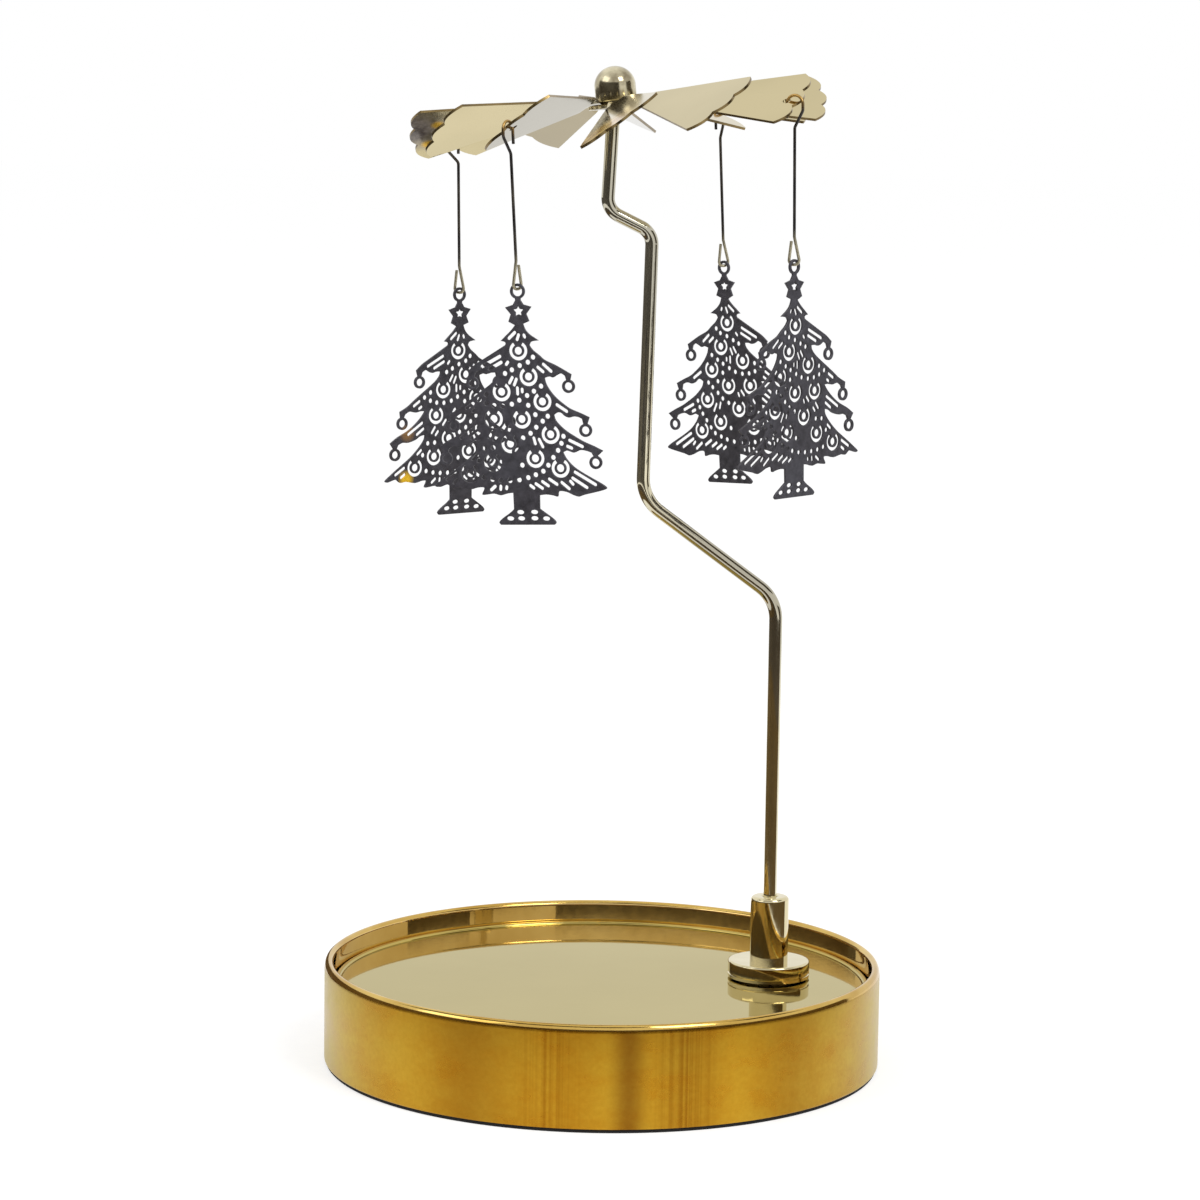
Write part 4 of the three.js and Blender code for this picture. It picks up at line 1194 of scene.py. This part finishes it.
# Lamps: place in metres, power and size
LAMPS = [("key", (0.45, -0.55, 0.75), 3.2, 0.35), ("fill", (-0.7, -0.35, 0.6), 1.6, 0.6)]
LAMP_AIM = Vector((0, 0, 0.06))
# Camera, fitted to the photo
CAMERA = Vector((0, -0.59409, 0.15402))
CAMERA_AIM = Vector((0, 0, 0.07))
CAMERA_ROLL = radians(0.842)
SENSOR = 36
LENS = 120.25
SHIFT = (-0.00625, 0.003)
CLIP_START = 0.01


def shown_rays(tree):
    """1 for the rays by which the eye and reflections see the surroundings."""
    path = tree.nodes.new("ShaderNodeLightPath")
    seen = larger(tree, path.outputs["Is Camera Ray"], path.outputs["Is Glossy Ray"])
    return larger(tree, seen, path.outputs["Is Transmission Ray"])


def studio():
    """White surroundings and floor, dark cards for the brass to reflect, and two lamps."""
    scene = bpy.context.scene
    scene.view_settings.view_transform = "Standard"
    world = bpy.data.worlds.new("studio")
    scene.world = world
    world.use_nodes = True
    nodes, links = world.node_tree.nodes, world.node_tree.links
    nodes.clear()
    seen = shown_rays(world.node_tree)
    light, white = nodes.new("ShaderNodeBackground"), nodes.new("ShaderNodeBackground")
    light.inputs["Color"].default_value = WHITE
    light.inputs["Strength"].default_value = WORLD_LIGHT
    white.inputs["Color"].default_value = WHITE
    mix, out = nodes.new("ShaderNodeMixShader"), nodes.new("ShaderNodeOutputWorld")
    links.new(seen, mix.inputs[0])
    links.new(light.outputs[0], mix.inputs[1])
    links.new(white.outputs[0], mix.inputs[2])
    links.new(mix.outputs[0], out.inputs["Surface"])

    mesh = bpy.data.meshes.new("floor")
    half = FLOOR_HALF
    corners = [(-half, -half, 0), (half, -half, 0), (half, half, 0), (-half, half, 0)]
    mesh.from_pydata(corners, [], [(0, 1, 2, 3)])
    mesh.materials.append(floor_paper())
    added("floor", mesh)

    for card in CARDS:
        flag(*card)
    for name, place, power, size in LAMPS:
        lamp(name, Vector(place), power, size)


def floor_paper():
    """White paper that keeps the object's shadow; what the eye and reflections see is lifted to white."""
    n = Nodes("floor_paper")
    grain = n.noise(300, 2.0)
    colour = n.ramp(grain, (0.3, linear(186, 186, 186)), (0.7, linear(190, 190, 190)))
    lift = n.spread(shown_rays(n.tree), 0, FLOOR_LIFT, 0, 1)
    n.shader.inputs["Emission Color"].default_value = WHITE
    n.link(lift, n.shader.inputs["Emission Strength"])
    n.shader.inputs["Specular IOR Level"].default_value = 0
    return n.finish(colour, n.spread(grain, 0.9, 1.0), 0.0)


def flag(name, radius, height, top, start, stop, colour):
    """A curved upright card that only reflections see."""
    points, faces = [], []
    for i in range(CARD_STEPS + 1):
        a = radians(start + (stop - start) * i / CARD_STEPS)
        points += [(radius * sin(a), -radius * cos(a), z) for z in (height, top)]
    for i in range(CARD_STEPS):
        faces.append((2 * i, 2 * i + 2, 2 * i + 3, 2 * i + 1))
    mesh = bpy.data.meshes.new(name)
    mesh.from_pydata(points, [], faces)
    card = added(name, mesh)
    felt = Nodes(name)
    weave = felt.noise(40, 2.0)
    dark = linear(*[c - CARD_WEAVE for c in colour])
    shade = felt.ramp(weave, (0.3, dark), (0.7, linear(*colour)))
    mesh.materials.append(felt.finish(shade, felt.spread(weave, 0.9, 1.0), 0.0))
    card.visible_camera = card.visible_diffuse = card.visible_shadow = False


def lamp(name, place, power, size):
    """A square lamp that faces the object."""
    data = bpy.data.lights.new(name, "AREA")
    data.energy = power
    data.size = size
    obj = added(name, data)
    obj.location = place
    obj.rotation_euler = (LAMP_AIM - place).to_track_quat("-Z", "Y").to_euler()


def camera():
    """The photo's view."""
    data = bpy.data.cameras.new("camera")
    data.sensor_width = SENSOR
    data.lens = LENS
    data.shift_x, data.shift_y = SHIFT
    data.clip_start = CLIP_START
    obj = added("camera", data)
    look = (CAMERA_AIM - CAMERA).to_track_quat("-Z", "Y").to_matrix().to_4x4()
    obj.matrix_world = Matrix.Translation(CAMERA) @ look @ spin(CAMERA_ROLL)
    bpy.context.scene.camera = obj


tray()
foot()
rod()
hub()
rotor_sheet()
pendants()
studio()
camera()
